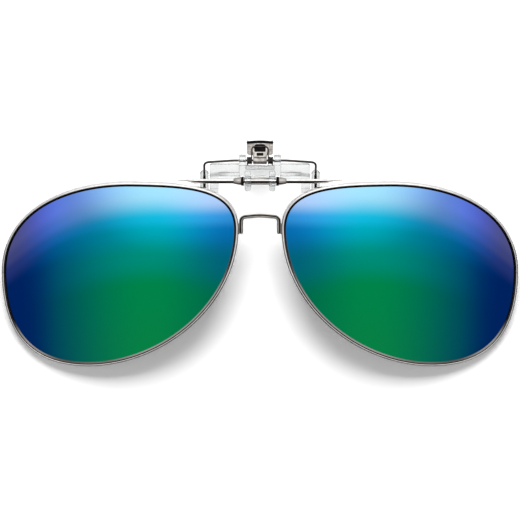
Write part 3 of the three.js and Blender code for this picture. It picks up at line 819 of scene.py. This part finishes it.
# Dark metal, used as painted shade in the rim's line, the collars' flanges, the bridge's line and the
# lever's slot floor; also the lever's dark pad and bead
DARK_AND_PAINTED_SHADE = metal("dark_metal_and_painted_shade", (12, 11, 11), (24, 22, 22), 0.3, 0.45)
COATING = mirror_coating()
TINTED = tinted_plastic()
CLEAR = clear_resin(
    "clear_plastic", (0.16, 0.16, 0.16, 1), (0.68, 0.69, 0.69, 1), 0.02, 0.06, (300, 3), 0.05, 1.46,
    rib_painted_shade)
VINYL = clear_resin(
    "clear_vinyl", (0.4, 0.4, 0.4, 1), (0.58, 0.59, 0.58, 1), 0.12, 0.22, (1500, 3), 0.1, 1.12)

# Lens outline and the place of a lens

CORNERS = (
    Vector((LENS_WIDTH / 2, TEMPLE_RISE)),
    Vector((-TOP_INSET, LENS_HEIGHT / 2)),
    Vector((-LENS_WIDTH / 2, NOSE_RISE)),
    Vector((BOTTOM_OUTSET, -LENS_HEIGHT / 2)),
)
FORWARD = Vector((0, 0, 1))
RIM_FRONT = RIM_LIP
RIM_BACK = -LENS_THICKNESS - RIM_LIP


def lens_sag(u, v):
    return BASE_CURVE_RADIUS - math.sqrt(BASE_CURVE_RADIUS ** 2 - u * u - v * v)


def opening_outline():
    """The opening's edge from the temple over the top and back under the lens."""
    points = []
    for i, (start, end) in enumerate(FULLNESS):
        a = CORNERS[i]
        d = CORNERS[(i + 1) % len(CORNERS)]
        b = Vector((a.x, a.y + start * (d.y - a.y)))
        c = Vector((d.x + end * (a.x - d.x), d.y))
        if i % 2:
            b = Vector((a.x + start * (d.x - a.x), a.y))
            c = Vector((d.x, d.y + end * (a.y - d.y)))
        points.extend(bezier(a, b, c, d, k / OUTLINE_STEPS) for k in range(OUTLINE_STEPS))
    return points


def edge_stations():
    """Points of the opening's edge on the lens front, with the direction outward."""
    outline = opening_outline()
    count = len(outline)
    stations = []
    for i, at in enumerate(outline):
        along = (outline[(i + 1) % count] - outline[i - 1]).normalized()
        stations.append((Vector((at.x, at.y, -lens_sag(at.x, at.y))), Vector((along.y, -along.x, 0))))
    return stations


STATIONS = edge_stations()


def lens_matrix():
    """The right lens is turned by the wrap, its rim's middle level with the bar's end."""
    turn = Matrix.Rotation(WRAP_ANGLE, 4, "Y")
    nose = CORNERS[2]
    top = CORNERS[1]
    nose_edge = turn @ Vector((nose.x, nose.y, -lens_sag(nose.x, nose.y)))
    centre_x = LENS_SPACING / 2 - nose_edge.x
    bar_end = BAR_REACH - centre_x
    joint = turn @ Vector((bar_end, top.y, (RIM_FRONT + RIM_BACK) / 2 - lens_sag(bar_end, top.y)))
    return Matrix.Translation((centre_x, -LENS_DROP - LENS_HEIGHT / 2, -joint.z)) @ turn


LENS_MATRIX = lens_matrix()
SIDES = ("left", "right")


def add_pair(name, shape, materials, body="front"):
    pair = zip(SIDES, (shape.mirrored(), shape))
    return [add_piece(f"{name}_{side}", half, materials, body) for side, half in pair]


# Rims and lenses

def rim_mark(p, out):
    """Which of the rim's materials: silver, the line's painted shade, the foot's painted shade or the
    lip's painted shade.
    """
    if p.y > BEAD_BREAK and p.x > BEAD_EDGE - RIM_EDGE_ROUND / 2 and out.y < FOOT_SHADE:
        return 2
    if p.x < 0 or p.y >= BEAD_START:
        return 0
    return 1 if p.y > LIP_TOP - CREST_SHINE else 3


def rim_shape():
    """An inner lip, a line of painted shade and a sloped outer bead, split at the temple."""
    section = rounded((
        (COATING_TUCK, RIM_FOOT, 0), (LIP_RISE, LIP_TOP, RIM_EDGE_ROUND),
        (LINE_DEPTH, LINE_PLACE, RIM_EDGE_ROUND / 2), (RIM_FRONT, BEAD_START, RIM_EDGE_ROUND),
        (RIM_FRONT, BEAD_CREST, BEAD_ROUND), (BEAD_SHOULDER, BEAD_BREAK, BEAD_ROUND),
        (BEAD_EDGE, RIM_WIDTH, RIM_EDGE_ROUND),
        (RIM_BACK, RIM_WIDTH, RIM_BACK_ROUND), (RIM_BACK, 0, RIM_EDGE_ROUND),
        (-LENS_THICKNESS - GROOVE_CLEARANCE, 0, 0),
        (-LENS_THICKNESS / 2, LENS_BEVEL + GROOVE_CLEARANCE, 0)))
    rings = []
    for point, out in STATIONS:
        rings.append([point + FORWARD * p.x + out * p.y for p in section])
    first = [p + Vector((0, RIM_SPLIT / 2, 0)) for p in rings[0]]
    last = [p - Vector((0, RIM_SPLIT / 2, 0)) for p in rings[0]]
    shape = Shape().sweep([first] + rings[1:] + [last])
    marks = [rim_mark(p, out) for _, out in STATIONS for p in section]
    shape.marks[:len(marks)] = marks
    return shape.moved(LENS_MATRIX)


def lens_shape():
    """A domed lens: coated front, bevelled edge in the rim's groove, bare back."""
    shares = [k / LENS_RINGS for k in range(1, LENS_RINGS)]
    front = [(share, 0, 0) for share in shares] + [(1, guard, 0) for guard in LENS_GUARDS]
    edge = [(1, -COATING_TUCK, 0), (1, -LENS_BEVEL, LENS_THICKNESS / 2), (1, 0, LENS_THICKNESS)]
    back = [(share, 0, LENS_THICKNESS) for share in reversed(shares)]
    rows = []
    for share, inset, depth in front + edge + back:
        row = []
        for point, out in STATIONS:
            at = Vector((point.x, point.y, 0)) * share - out * inset
            row.append(Vector((at.x, at.y, -lens_sag(at.x, at.y) - depth)))
        rows.append(row)
    shape = Shape().sweep(rows)
    coated = len(front) * len(STATIONS)
    shape.marks = [0 if i < coated else 1 for i in range(len(shape.faces))]
    shape.marks[-2] = 0
    return shape.moved(LENS_MATRIX)


add_pair("rim", rim_shape(), [SILVER, DARK_AND_PAINTED_SHADE, FOOT_PAINTED_SHADE, LIP])
add_pair("lens", lens_shape(), [COATING, TINTED])


# Brow bar, collars and nose bridge

def bar_section():
    """The bar's outline (y, z): a low roof in front and a half round behind."""
    corners = [
        (BAR_RADIUS, BAR_EAVE, BAR_EAVE_ROUND), (BAR_RIDGE_RISE, BAR_RIDGE, BAR_RIDGE_ROUND),
        (-BAR_RADIUS, BAR_EAVE, BAR_EAVE_ROUND)]
    for k in range(WIRE_SIDES + 1):
        angle = math.pi * (1 + k / WIRE_SIDES)
        corners.append((BAR_RADIUS * math.cos(angle), BAR_RADIUS * math.sin(angle), 0))
    return rounded(corners)


def bar_ring(x, size=1, lift=0, flat=False):
    """A section of the bar; the flat one is cut behind and above."""
    limit = BAR_RADIUS - BAR_FLAT if flat else BAR_RADIUS
    return [Vector((x, min(p.x, limit) * size + lift, max(p.y, -limit) * size)) for p in bar_section()]


def rim_walls():
    """The middle of the right rim's outer wall, all round."""
    middle = FORWARD * (RIM_FRONT + RIM_BACK) / 2
    return [LENS_MATRIX @ (point + out * RIM_WIDTH + middle) for point, out in STATIONS]


def braze_rings():
    """Sections of the brazed web between the bar's tip and the rim's top."""
    upper = [wall for wall in rim_walls() if wall.y > -BRIDGE_DROP]
    rings = []
    for x, size, lift in BAR_TIP:
        low = min(upper, key=lambda wall: abs(wall.x - x)).y - BRAZE_TUCK
        high = lift - (BAR_RADIUS - BRAZE_TUCK) * size
        section = (
            (low, BRAZE_LOW_FRONT), (high, BRAZE_HIGH_FRONT * size),
            (high, BRAZE_BACK * size), (low, BRAZE_BACK))
        rings.append([Vector((x, y, z)) for y, z in section])
    return rings


def brow_bar_shape():
    """The bar with its flats; each end draws in to a tip brazed on the rim."""
    flat_end = LUG_INNER - HINGE_CLEARANCE
    right = [bar_ring(flat_end, flat=True)]
    right += [bar_ring(x) for x in (flat_end + BAR_FLAT_STEP, *BAR_EVEN)]
    right += [bar_ring(*place) for place in BAR_TIP]
    left = [[mirror_point(p) for p in ring] for ring in reversed(right)]
    shape = Shape().sweep(left + right)
    shape.sweep(braze_rings())
    shape.sweep([[mirror_point(p) for p in ring] for ring in braze_rings()])
    return shape


def collar_shape():
    """A turned collar: flange beside the lug, shallow neck and cone down to the bar; the flange carries
    painted shade in dark metal.
    """
    end = COLLAR_START + COLLAR_LENGTH
    bore = BAR_RADIUS * COLLAR_BORE
    profile = [(COLLAR_START, bore)]
    profile += [(COLLAR_START + x, COLLAR_RADIUS - cut) for x, cut in COLLAR_FLANGE + COLLAR_NECK]
    profile += [(end - x, BAR_RADIUS + rise) for x, rise in COLLAR_TIP]
    profile += [(end, bore)]
    shape = Shape().sweep(lathe_rings(profile, 2 * WIRE_SIDES))
    # The flange's rings take the dark metal as painted shade beside the lug
    flange = (len(COLLAR_FLANGE) + 1) * 2 * WIRE_SIDES
    shape.marks = [1 if i < flange else 0 for i in range(len(shape.faces))]
    return shape


def in_bridge_line(k):
    return math.tau * k / BRIDGE_SIDES <= BRIDGE_LINE


def bridge_ring(centre, along, size):
    """A round section whose outer front has a sunk line, painted dark as shade."""
    outer = Vector((-along.y, along.x, 0))
    ring = []
    for k, turn in enumerate(turns(BRIDGE_SIDES)):
        radius = (BRIDGE_RADIUS - (BRIDGE_LINE_DEPTH if in_bridge_line(k) else 0)) * size
        ring.append(centre + FORWARD * math.cos(turn) * radius + outer * math.sin(turn) * radius)
    return ring


def bridge_shape():
    """A bent wire whose legs stand beside the rims where these are closest."""
    closest = min(rim_walls(), key=lambda wall: wall.x)
    leg_x = closest.x - SOLDER_GAP - BRIDGE_RADIUS
    leg_z = closest.z
    corner = Vector((leg_x, -BRIDGE_DROP - BRIDGE_SAG, leg_z))
    foot = Vector((leg_x, closest.y - BRIDGE_FOOT, leg_z))
    middle = Vector((0, -BRIDGE_DROP, leg_z))
    path = bent_path([mirror_point(foot), mirror_point(corner), middle, corner, foot], [BRIDGE_BEND] * 3)
    last = len(path) - 1
    rings = []
    for i, centre in enumerate(path):
        along = (path[min(i + 1, last)] - path[max(i - 1, 0)]).normalized()
        rings.append(bridge_ring(centre, along, BRIDGE_END if i in (0, last) else 1))
    shape = Shape().sweep(rings)
    # The sunk line takes the dark metal as painted shade
    for row in range(last):
        for k in range(BRIDGE_SIDES):
            if in_bridge_line(k) and in_bridge_line(k + 1):
                shape.marks[row * BRIDGE_SIDES + k] = 1
    for side in (-1, 1):
        bead = [
            Vector((side * (closest.x - SOLDER_SHIFT), closest.y + y, leg_z + SOLDER_RISE))
            for y in (-SOLDER_HALF_LENGTH, 0, SOLDER_HALF_LENGTH)]
        shape.sweep(tube_rings(bead, SOLDER_RADIUS, WIRE_SIDES, SOLDER_ROUND, SOLDER_ROUND))
    return shape


add_piece("brow_bar", brow_bar_shape(), [SILVER], "front")
add_pair("hinge_collar", collar_shape(), [POLISHED, DARK_AND_PAINTED_SHADE])
add_piece("nose_bridge", bridge_shape(), [POLISHED, DARK_AND_PAINTED_SHADE], "front")


# Wire jaw, sleeves, lever and spring

def jaw_points():
    low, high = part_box("jaw_sleeve_right")
    jaw_x = (low.x + high.x) / 2 / MM
    table = (low.z - HINGE.z) / MM
    tip_depth = PLATE_FRONT + PLATE_THICKNESS + PAD_DEPTH + JAW_GAP + SLEEVE_RADIUS
    return {
        "axle": Vector((BODY_HALF_WIDTH + WIRE_BEND, AXLE_RISE, -AXLE_DEPTH)),
        "corner": Vector((jaw_x, AXLE_RISE - WIRE_DROOP, -AXLE_DEPTH)),
        "heel": Vector((jaw_x, HEEL_TOP, table + SLEEVE_RADIUS)),
        "toe": Vector((jaw_x, HEEL_TOP - HEEL_LENGTH, table + SLEEVE_RADIUS)),
        "tip": Vector((jaw_x, -LEG_DROP, -tip_depth)),
    }


JAW = jaw_points()


def wire_jaw_shape():
    right = [JAW[name] for name in ("axle", "corner", "heel", "toe", "tip")]
    left = [mirror_point(point) for point in reversed(right)]
    bends = [WIRE_BEND / 2, WIRE_BEND, HEEL_BEND, HEEL_BEND]
    path = bent_path(left + right, bends[::-1] + bends)
    return Shape().sweep(tube_rings(path, WIRE_RADIUS, WIRE_SIDES, END_ROUND, END_ROUND))


def at_height(start, end, height):
    return start.lerp(end, (height - start.y) / (end.y - start.y))


def sleeve_shape():
    """A soft tube over the wire's leg, closed over its tip."""
    top = at_height(JAW["corner"], JAW["heel"], SLEEVE_TOP)
    end = at_height(JAW["toe"], JAW["tip"], JAW["tip"].y - SLEEVE_CAP + SLEEVE_END)
    path = bent_path([top, JAW["heel"], JAW["toe"], end], [HEEL_BEND, HEEL_BEND])
    outside = tube_rings(path, SLEEVE_RADIUS, end_round=SLEEVE_END)
    inside = tube_rings(path, WIRE_RADIUS + SLEEVE_CLEARANCE / 2)
    down = (path[1] - path[0]).normalized()
    lip = []
    for k in range(1, CORNER_STEPS + 1):
        turn = math.pi / 2 * k / CORNER_STEPS
        ring = tube_rings(path, SLEEVE_RADIUS - SLEEVE_LIP * (1 - math.sin(turn)))[0]
        lip.append([p + down * SLEEVE_LIP * (1 - math.cos(turn)) for p in ring])
    steps = round(SLEEVE_LIP / (path[1] - path[0]).length) + 1
    return Shape().sweep(list(reversed(inside)) + lip + outside[steps:])


add_piece("wire_jaw", wire_jaw_shape(), [STEEL], "jaw")
sleeves = add_pair("jaw_sleeve", sleeve_shape(), [VINYL], "jaw")

LEVER_MATRIX = Matrix.Translation((0, AXLE_RISE, -AXLE_DEPTH)) @ Matrix.Rotation(-LEVER_LEAN, 4, "X")


def lever_face():
    """The plate's outline: neck, tabs and a small horn at each top corner."""
    horn_top = LEVER_LENGTH + HORN_RISE
    horn_side = TAB_HALF_WIDTH - HORN_WIDTH
    right = [
        (BARREL_HALF_WIDTH, 0, 0), (BARREL_HALF_WIDTH, TAB_START, NECK_ROUND),
        (TAB_HALF_WIDTH, TAB_START, TAB_ROUND), (TAB_HALF_WIDTH, horn_top, HORN_ROUND),
        (horn_side, horn_top, HORN_ROUND), (horn_side, LEVER_LENGTH, HORN_FOOT_ROUND)]
    return symmetric(right)


def slotted_plate():
    """The lever's plate with a slot near its foot and a dark floor in the slot, as painted shade."""
    front = LEVER_THICKNESS / 2
    plate = Shape().sweep(plate_rings(lever_face(), -front, front, STAMP_ROUND))
    half = SLOT_HALF_WIDTH
    end = SLOT_START + SLOT_LENGTH
    through = 2 * LEVER_THICKNESS
    slot = block((-half, SLOT_START, -through), (half, end, through), SLOT_ROUND)
    shape = combined(plate, [slot], "DIFFERENCE")
    margin = SLOT_FLOOR_MARGIN
    low, high = SLOT_FLOOR
    # The slot's floor is a dark sheet: painted shade in the slot
    shape.add(block(
        (-half - margin, SLOT_START - margin, low - front), (half + margin, end + margin, high - front),
        SLOT_FLOOR_ROUND), mark=1)
    return shape


def lever_shape():
    """A stamped lever: barrel, ribbed tabs, raised pad and a dark bead along the top."""
    shape = slotted_plate()
    front = LEVER_THICKNESS / 2
    pad = rounded((
        (-PAD_HALF_WIDTH, PAD_LOW, PAD_LOW_ROUND), (PAD_HALF_WIDTH, PAD_LOW, PAD_LOW_ROUND),
        (PAD_HALF_WIDTH, PAD_HIGH, PAD_HIGH_ROUND), (-PAD_HALF_WIDTH, PAD_HIGH, PAD_HIGH_ROUND)))
    shape.sweep(plate_rings(pad, 0, front + PAD_RISE, STAMP_ROUND), mark=1)
    for k in range(GRIP_RIBS):
        height = GRIP_LOW + (GRIP_HIGH - GRIP_LOW) * k / (GRIP_RIBS - 1)
        for side in (-1, 1):
            rib = [Vector((side * x, height, front)) for x in (GRIP_INNER, GRIP_OUTER)]
            shape.sweep(tube_rings(rib, GRIP_RADIUS, FINE_SIDES, GRIP_RADIUS, GRIP_RADIUS))
    half = BARREL_HALF_WIDTH
    shoulder = half - BARREL_CHAMFER
    mouth = BARREL_RADIUS - BARREL_CHAMFER
    barrel = [
        (-half, BARREL_BORE), (-half, mouth), (-shoulder, BARREL_RADIUS),
        (shoulder, BARREL_RADIUS), (half, mouth), (half, BARREL_BORE)]
    shape.sweep(lathe_rings(barrel, 2 * WIRE_SIDES), loop=True)
    bead = []
    for k in range(-WIRE_SIDES, WIRE_SIDES + 1):
        share = k / WIRE_SIDES
        height = LEVER_LENGTH - TOP_BEAD_ARCH * share ** 2
        bead.append(Vector((TAB_HALF_WIDTH * share, height, TOP_BEAD_FRONT)))
    shape.sweep(tube_rings(bead, TOP_BEAD_RADIUS, WIRE_SIDES, END_ROUND, END_ROUND), mark=1)
    return shape.moved(LEVER_MATRIX)


def spring_path():
    """The spring's wire: leg, coil, loop on the lever, coil and leg."""
    outer = COIL_INNER + COIL_LENGTH
    face = LEVER_THICKNESS / 2 + LOOP_GAP + SPRING_RADIUS
    right = []
    for k in range(SPRING_LEG_STEPS):
        right.append(Vector((outer, -SPRING_LEG * (1 - k / SPRING_LEG_STEPS), COIL_RADIUS)))
    steps = COIL_TURNS * COIL_STEPS
    for i in range(steps + 1):
        angle = math.tau * COIL_TURNS * i / steps
        x = outer - COIL_LENGTH * i / steps
        right.append(Vector((x, COIL_RADIUS * math.sin(angle), COIL_RADIUS * math.cos(angle))))
    rise = [Vector((COIL_INNER, LOOP_LENGTH, face)), Vector((0, LOOP_LENGTH, face))]
    right.extend(bent_path([right[-1] + Vector((0, LOOP_START, 0)), *rise], [LOOP_BEND]))
    return right + [mirror_point(point) for point in reversed(right[:-1])]


def spring_shape():
    return Shape().sweep(tube_rings(spring_path(), SPRING_RADIUS, FINE_SIDES)).moved(LEVER_MATRIX)


add_piece("lever", lever_shape(), [BRUSHED, DARK_AND_PAINTED_SHADE], "jaw")
add_piece("jaw_spring", spring_shape(), [STEEL], "jaw")


# Clip base, detent leaf, closing blocks and screws

def base_plate():
    """Arms and front jaw legs in one plate, open at the spring's well."""
    outer = LEG_INNER + LEG_WIDTH
    notch = (EAR_INNER + BODY_HALF_WIDTH) / 2
    right = [
        (LEG_INNER, ARM_BOTTOM, ARM_ROUND), (LEG_INNER, -LEG_DROP, LEG_ROUND),
        (outer, -LEG_DROP, LEG_ROUND), (outer, ARM_TOP, ARM_ROUND),
        (notch, ARM_TOP, 0), (notch, RIB_HIGH, 0)]
    back = -PLATE_FRONT - PLATE_THICKNESS
    return Shape().sweep(plate_rings(symmetric(right), back, -PLATE_FRONT, MOULD_ROUND))


def clip_base_shape():
    """One clear moulding: plate, rib, wall, ledge, ears for the axle and lugs for the bar."""
    edge = MOULD_ROUND
    corner = CORNER_EASE * edge
    back = -PLATE_FRONT - PLATE_THICKNESS
    outer = LEG_INNER + LEG_WIDTH
    lug_outer = LUG_INNER + LUG_WIDTH
    crest = AXLE_RISE + EAR_RISE
    rib_back = -PLATE_FRONT - PLATE_THICKNESS / 2
    rib = prism(rounded((
        (RIB_LOW, rib_back, corner), (RIB_HIGH, rib_back, corner),
        (RIB_HIGH - RIB_SLOPE, -PLATE_FRONT + RIB_DEPTH, corner),
        (RIB_LOW + RIB_SLOPE, -PLATE_FRONT + RIB_DEPTH, corner))), -LEG_INNER, LEG_INNER, edge)
    wall = block(
        (-BODY_HALF_WIDTH + INSET, BODY_BOTTOM + INSET, -BODY_FRONT - WALL_THICKNESS),
        (BODY_HALF_WIDTH - INSET, WALL_TOP, -BODY_FRONT), edge)
    ledge = block(
        (-BODY_HALF_WIDTH + 3 * INSET, BODY_BOTTOM + 2 * INSET, -BODY_BACK + INSET),
        (BODY_HALF_WIDTH - 3 * INSET, BODY_STEP, -BODY_FRONT - WALL_THICKNESS / 2), edge)
    ear = prism(rounded((
        (BODY_BOTTOM, -BODY_BACK, corner), (crest, -BODY_BACK, EAR_ROUND),
        (crest, -EAR_FRONT + INSET, EAR_ROUND), (BODY_BOTTOM, -EAR_FRONT + INSET, corner))),
        EAR_INNER, BODY_HALF_WIDTH, edge)
    lug = rod(LUG_RADIUS, LUG_INNER, lug_outer, edge=edge)
    web = block(
        (LUG_INNER + INSET / 2, -TAIL_DROP, -TAIL_BACK),
        (lug_outer - INSET / 2, BODY_STEP - INSET, -TAIL_FRONT), TAIL_ROUND)
    pad = block(
        (LEG_INNER + INSET, -LEG_DROP + INSET, back - PAD_DEPTH),
        (outer - INSET, -LEG_DROP + PAD_LENGTH, back + PAD_DEPTH + INSET), edge)
    parts = [rib, wall, ledge, *both(ear), *both(lug), *both(web), *both(pad)]
    axle = rod(WIRE_RADIUS + AXLE_CLEARANCE, -outer, outer, AXLE_RISE, -AXLE_DEPTH)
    bore = rod(BAR_RADIUS + HINGE_CLEARANCE, -lug_outer - INSET, lug_outer + INSET)
    gap = LEAF_SLOT_CLEARANCE
    slot = block(
        (0, -LEAF_DROP - gap, LEAF_FRONT - LEAF_THICKNESS - gap),
        (LUG_INNER + LEAF_TUCK + gap, LEAF_TOP + gap, LEAF_FRONT + gap), gap / 2)
    return combined(combined(base_plate(), parts, "UNION"), [axle, bore, *both(slot)], "DIFFERENCE")


def leaf_shape():
    half = LUG_INNER + LEAF_TUCK
    back = LEAF_FRONT - LEAF_THICKNESS
    return block((-half, -LEAF_DROP, back), (half, LEAF_TOP, LEAF_FRONT), LEAF_ROUND)


def screw_shape(name):
    """A slotted screw along y, its head up."""
    low, high = ((corner - HINGE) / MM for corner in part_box(name))
    neck = high.y - SCREW_HEAD_HEIGHT
    profile = [
        (low.y, SCREW_RADIUS - SCREW_CHAMFER), (low.y + SCREW_CHAMFER, SCREW_RADIUS),
        (neck, SCREW_RADIUS), (neck, SCREW_HEAD_RADIUS - SCREW_HEAD_CHAMFER),
        (neck + SCREW_HEAD_CHAMFER, SCREW_HEAD_RADIUS)]
    profile += [(high.y - depth, SCREW_HEAD_RADIUS - cut) for depth, cut in SCREW_DOME]
    centre = Vector(((low.x + high.x) / 2, 0, (low.z + high.z) / 2))
    upright = Matrix.Translation(centre) @ Matrix.Rotation(math.pi / 2, 4, "Z")
    screw = Shape().sweep(lathe_rings(profile)).moved(upright)
    half = SCREW_SLOT_WIDTH / 2
    reach = SCREW_SLOT_REACH
    slot = block(
        (centre.x - reach, high.y - SCREW_SLOT_DEPTH, centre.z - half),
        (centre.x + reach, high.y + reach, centre.z + half), SCREW_SLOT_ROUND)
    return combined(screw, [slot], "DIFFERENCE")


def add_closing_block(name):
    """A copy of the node with its flat faces whole and its sharp edges rounded."""
    mesh = frame["nodes"][name].data.copy()
    mesh.materials.clear()
    mesh.materials.append(SILVER)
    builder = bmesh.new()
    builder.from_mesh(mesh)
    bmesh.ops.remove_doubles(builder, verts=builder.verts, dist=WELD_DISTANCE)
    bmesh.ops.dissolve_limit(builder, angle_limit=FLAT_ANGLE, verts=builder.verts, edges=builder.edges)
    sharp = [edge for edge in builder.edges if edge.calc_face_angle(0) > SMOOTH_ANGLE]
    bmesh.ops.bevel(
        builder, geom=sharp, offset=BLOCK_ROUND * MM, segments=EASE_STEPS, profile=EASE_PROFILE,
        affect="EDGES", clamp_overlap=True)
    builder.to_mesh(mesh)
    builder.free()
    finish_piece(name, mesh, "front")


clip_base = add_piece("clip_base", clip_base_shape(), [CLEAR], "clip")
add_piece("detent_leaf", leaf_shape(), [POLISHED], "clip")
for side in SIDES:
    for level in ("upper", "lower"):
        add_closing_block(f"closing_block_{level}_{side}")
    screw = f"closing_screw_{side}"
    add_piece(screw, screw_shape(screw), [STEEL], "front")

for clear_piece in [clip_base, *sleeves]:
    clear_piece.visible_shadow = False


# Table, light and camera

def add_floor():
    """A table that shows white, also in metal and clear plastic, and keeps the shadow."""
    bpy.ops.mesh.primitive_plane_add(size=FLOOR_SIZE)
    floor = bpy.context.object
    floor.name = "table"
    upright = Vector((0, math.sin(TABLE_LEAN), math.cos(TABLE_LEAN)))
    pieces = [piece for piece in bpy.context.scene.objects if piece.name.startswith("fine_")]
    lowest = min(upright.dot(vertex.co) for piece in pieces for vertex in piece.data.vertices)
    floor.location = upright * lowest
    floor.rotation_euler = (-TABLE_LEAN, 0, 0)
    material, tree, shader = new_material("white_table")
    path = tree.nodes.new("ShaderNodeLightPath").outputs
    shown = path["Is Camera Ray"]
    for ray in ("Is Glossy Ray", "Is Transmission Ray"):
        shown = maths(tree, "MAXIMUM", shown, path[ray])
    fill(shader, {
        "Base Color": ramp(tree, noise(tree, *TABLE_CLOUDS), tuple(zip(NOISE_RANGE, TABLE_WHITES))),
        "Roughness": 1,
        "Specular IOR Level": 0,
        "Emission Color": WHITE,
        "Emission Strength": spread(tree, shown, 0, FLOOR_GLOW)})
    floor.data.materials.append(material)


def add_world():
    """Even fill; reflections see an overhead panel, a bright wall and dark low sides."""
    world = bpy.data.worlds.new("studio")
    bpy.context.scene.world = world
    world.use_nodes = True
    tree = world.node_tree
    direction = tree.nodes.new("ShaderNodeTexCoord").outputs["Generated"]

    def along(axis):
        values = {0: direction, 1: axis}
        return add_node(tree, "ShaderNodeVectorMath", values, operation="DOT_PRODUCT").outputs["Value"]

    def lobe(tilt, inner, outer):
        """1 within the inner angle of an axis tilted to the brow, 0 past the outer."""
        axis = (0, math.sin(tilt), math.cos(tilt))
        return spread(tree, along(axis), 0, 1, math.cos(outer), math.cos(inner), smooth=True)

    level = maths(tree, "MULTIPLY_ADD", lobe(PANEL_TILT, *PANEL_SPREAD), PANEL_LEVEL, PLAIN_LEVEL)
    level = maths(tree, "MULTIPLY_ADD", lobe(BROW_TILT, *BROW_SPREAD), BROW_LEVEL, level)
    open_side = spread(tree, along(DARK_AXIS), DARK_LEVEL, 1, *DARK_RANGE, smooth=True)
    studio = maths(tree, "MULTIPLY", level, open_side)
    path = tree.nodes.new("ShaderNodeLightPath").outputs
    mirrored = maths(tree, "MAXIMUM", path["Is Glossy Ray"], path["Is Transmission Ray"])
    lit = mix(tree, "FLOAT", mirrored, FILL, studio)
    strength = mix(tree, "FLOAT", path["Is Camera Ray"], lit, 1)
    fill(tree.nodes["Background"], {"Color": WHITE, "Strength": strength})


def add_key():
    """A large soft lamp beyond the brow."""
    lamp = bpy.data.lights.new("key", "AREA")
    lamp.shape = "RECTANGLE"
    lamp.size = KEY_WIDTH
    lamp.size_y = KEY_HEIGHT
    lamp.energy = KEY_POWER
    key = bpy.data.objects.new("key", lamp)
    away = Vector((0, math.cos(KEY_ELEVATION), math.sin(KEY_ELEVATION)))
    key.location = away * KEY_DISTANCE
    key.rotation_euler = away.to_track_quat("Z", "Y").to_euler()
    key.visible_glossy = False
    bpy.context.scene.collection.objects.link(key)


def add_camera():
    camera = bpy.data.objects.new("camera", bpy.data.cameras.new("camera"))
    camera.data.lens = CAMERA_LENS
    camera.data.sensor_width = SENSOR
    up = Vector((0, math.cos(VIEW_TILT), -math.sin(VIEW_TILT)))
    back = Vector((0, math.sin(VIEW_TILT), math.cos(VIEW_TILT)))
    target = HINGE - up * VIEW_DROP * MM - back * VIEW_DEPTH * MM
    distance = VIEW_WIDTH * MM * CAMERA_LENS / SENSOR
    axes = Matrix((Vector((1, 0, 0)), up, back)).transposed().to_4x4()
    camera.matrix_world = Matrix.Translation(target + back * distance) @ axes
    bpy.context.scene.collection.objects.link(camera)
    bpy.context.scene.camera = camera


add_floor()
add_world()
add_key()
add_camera()
bpy.context.scene.view_settings.view_transform = "Standard"
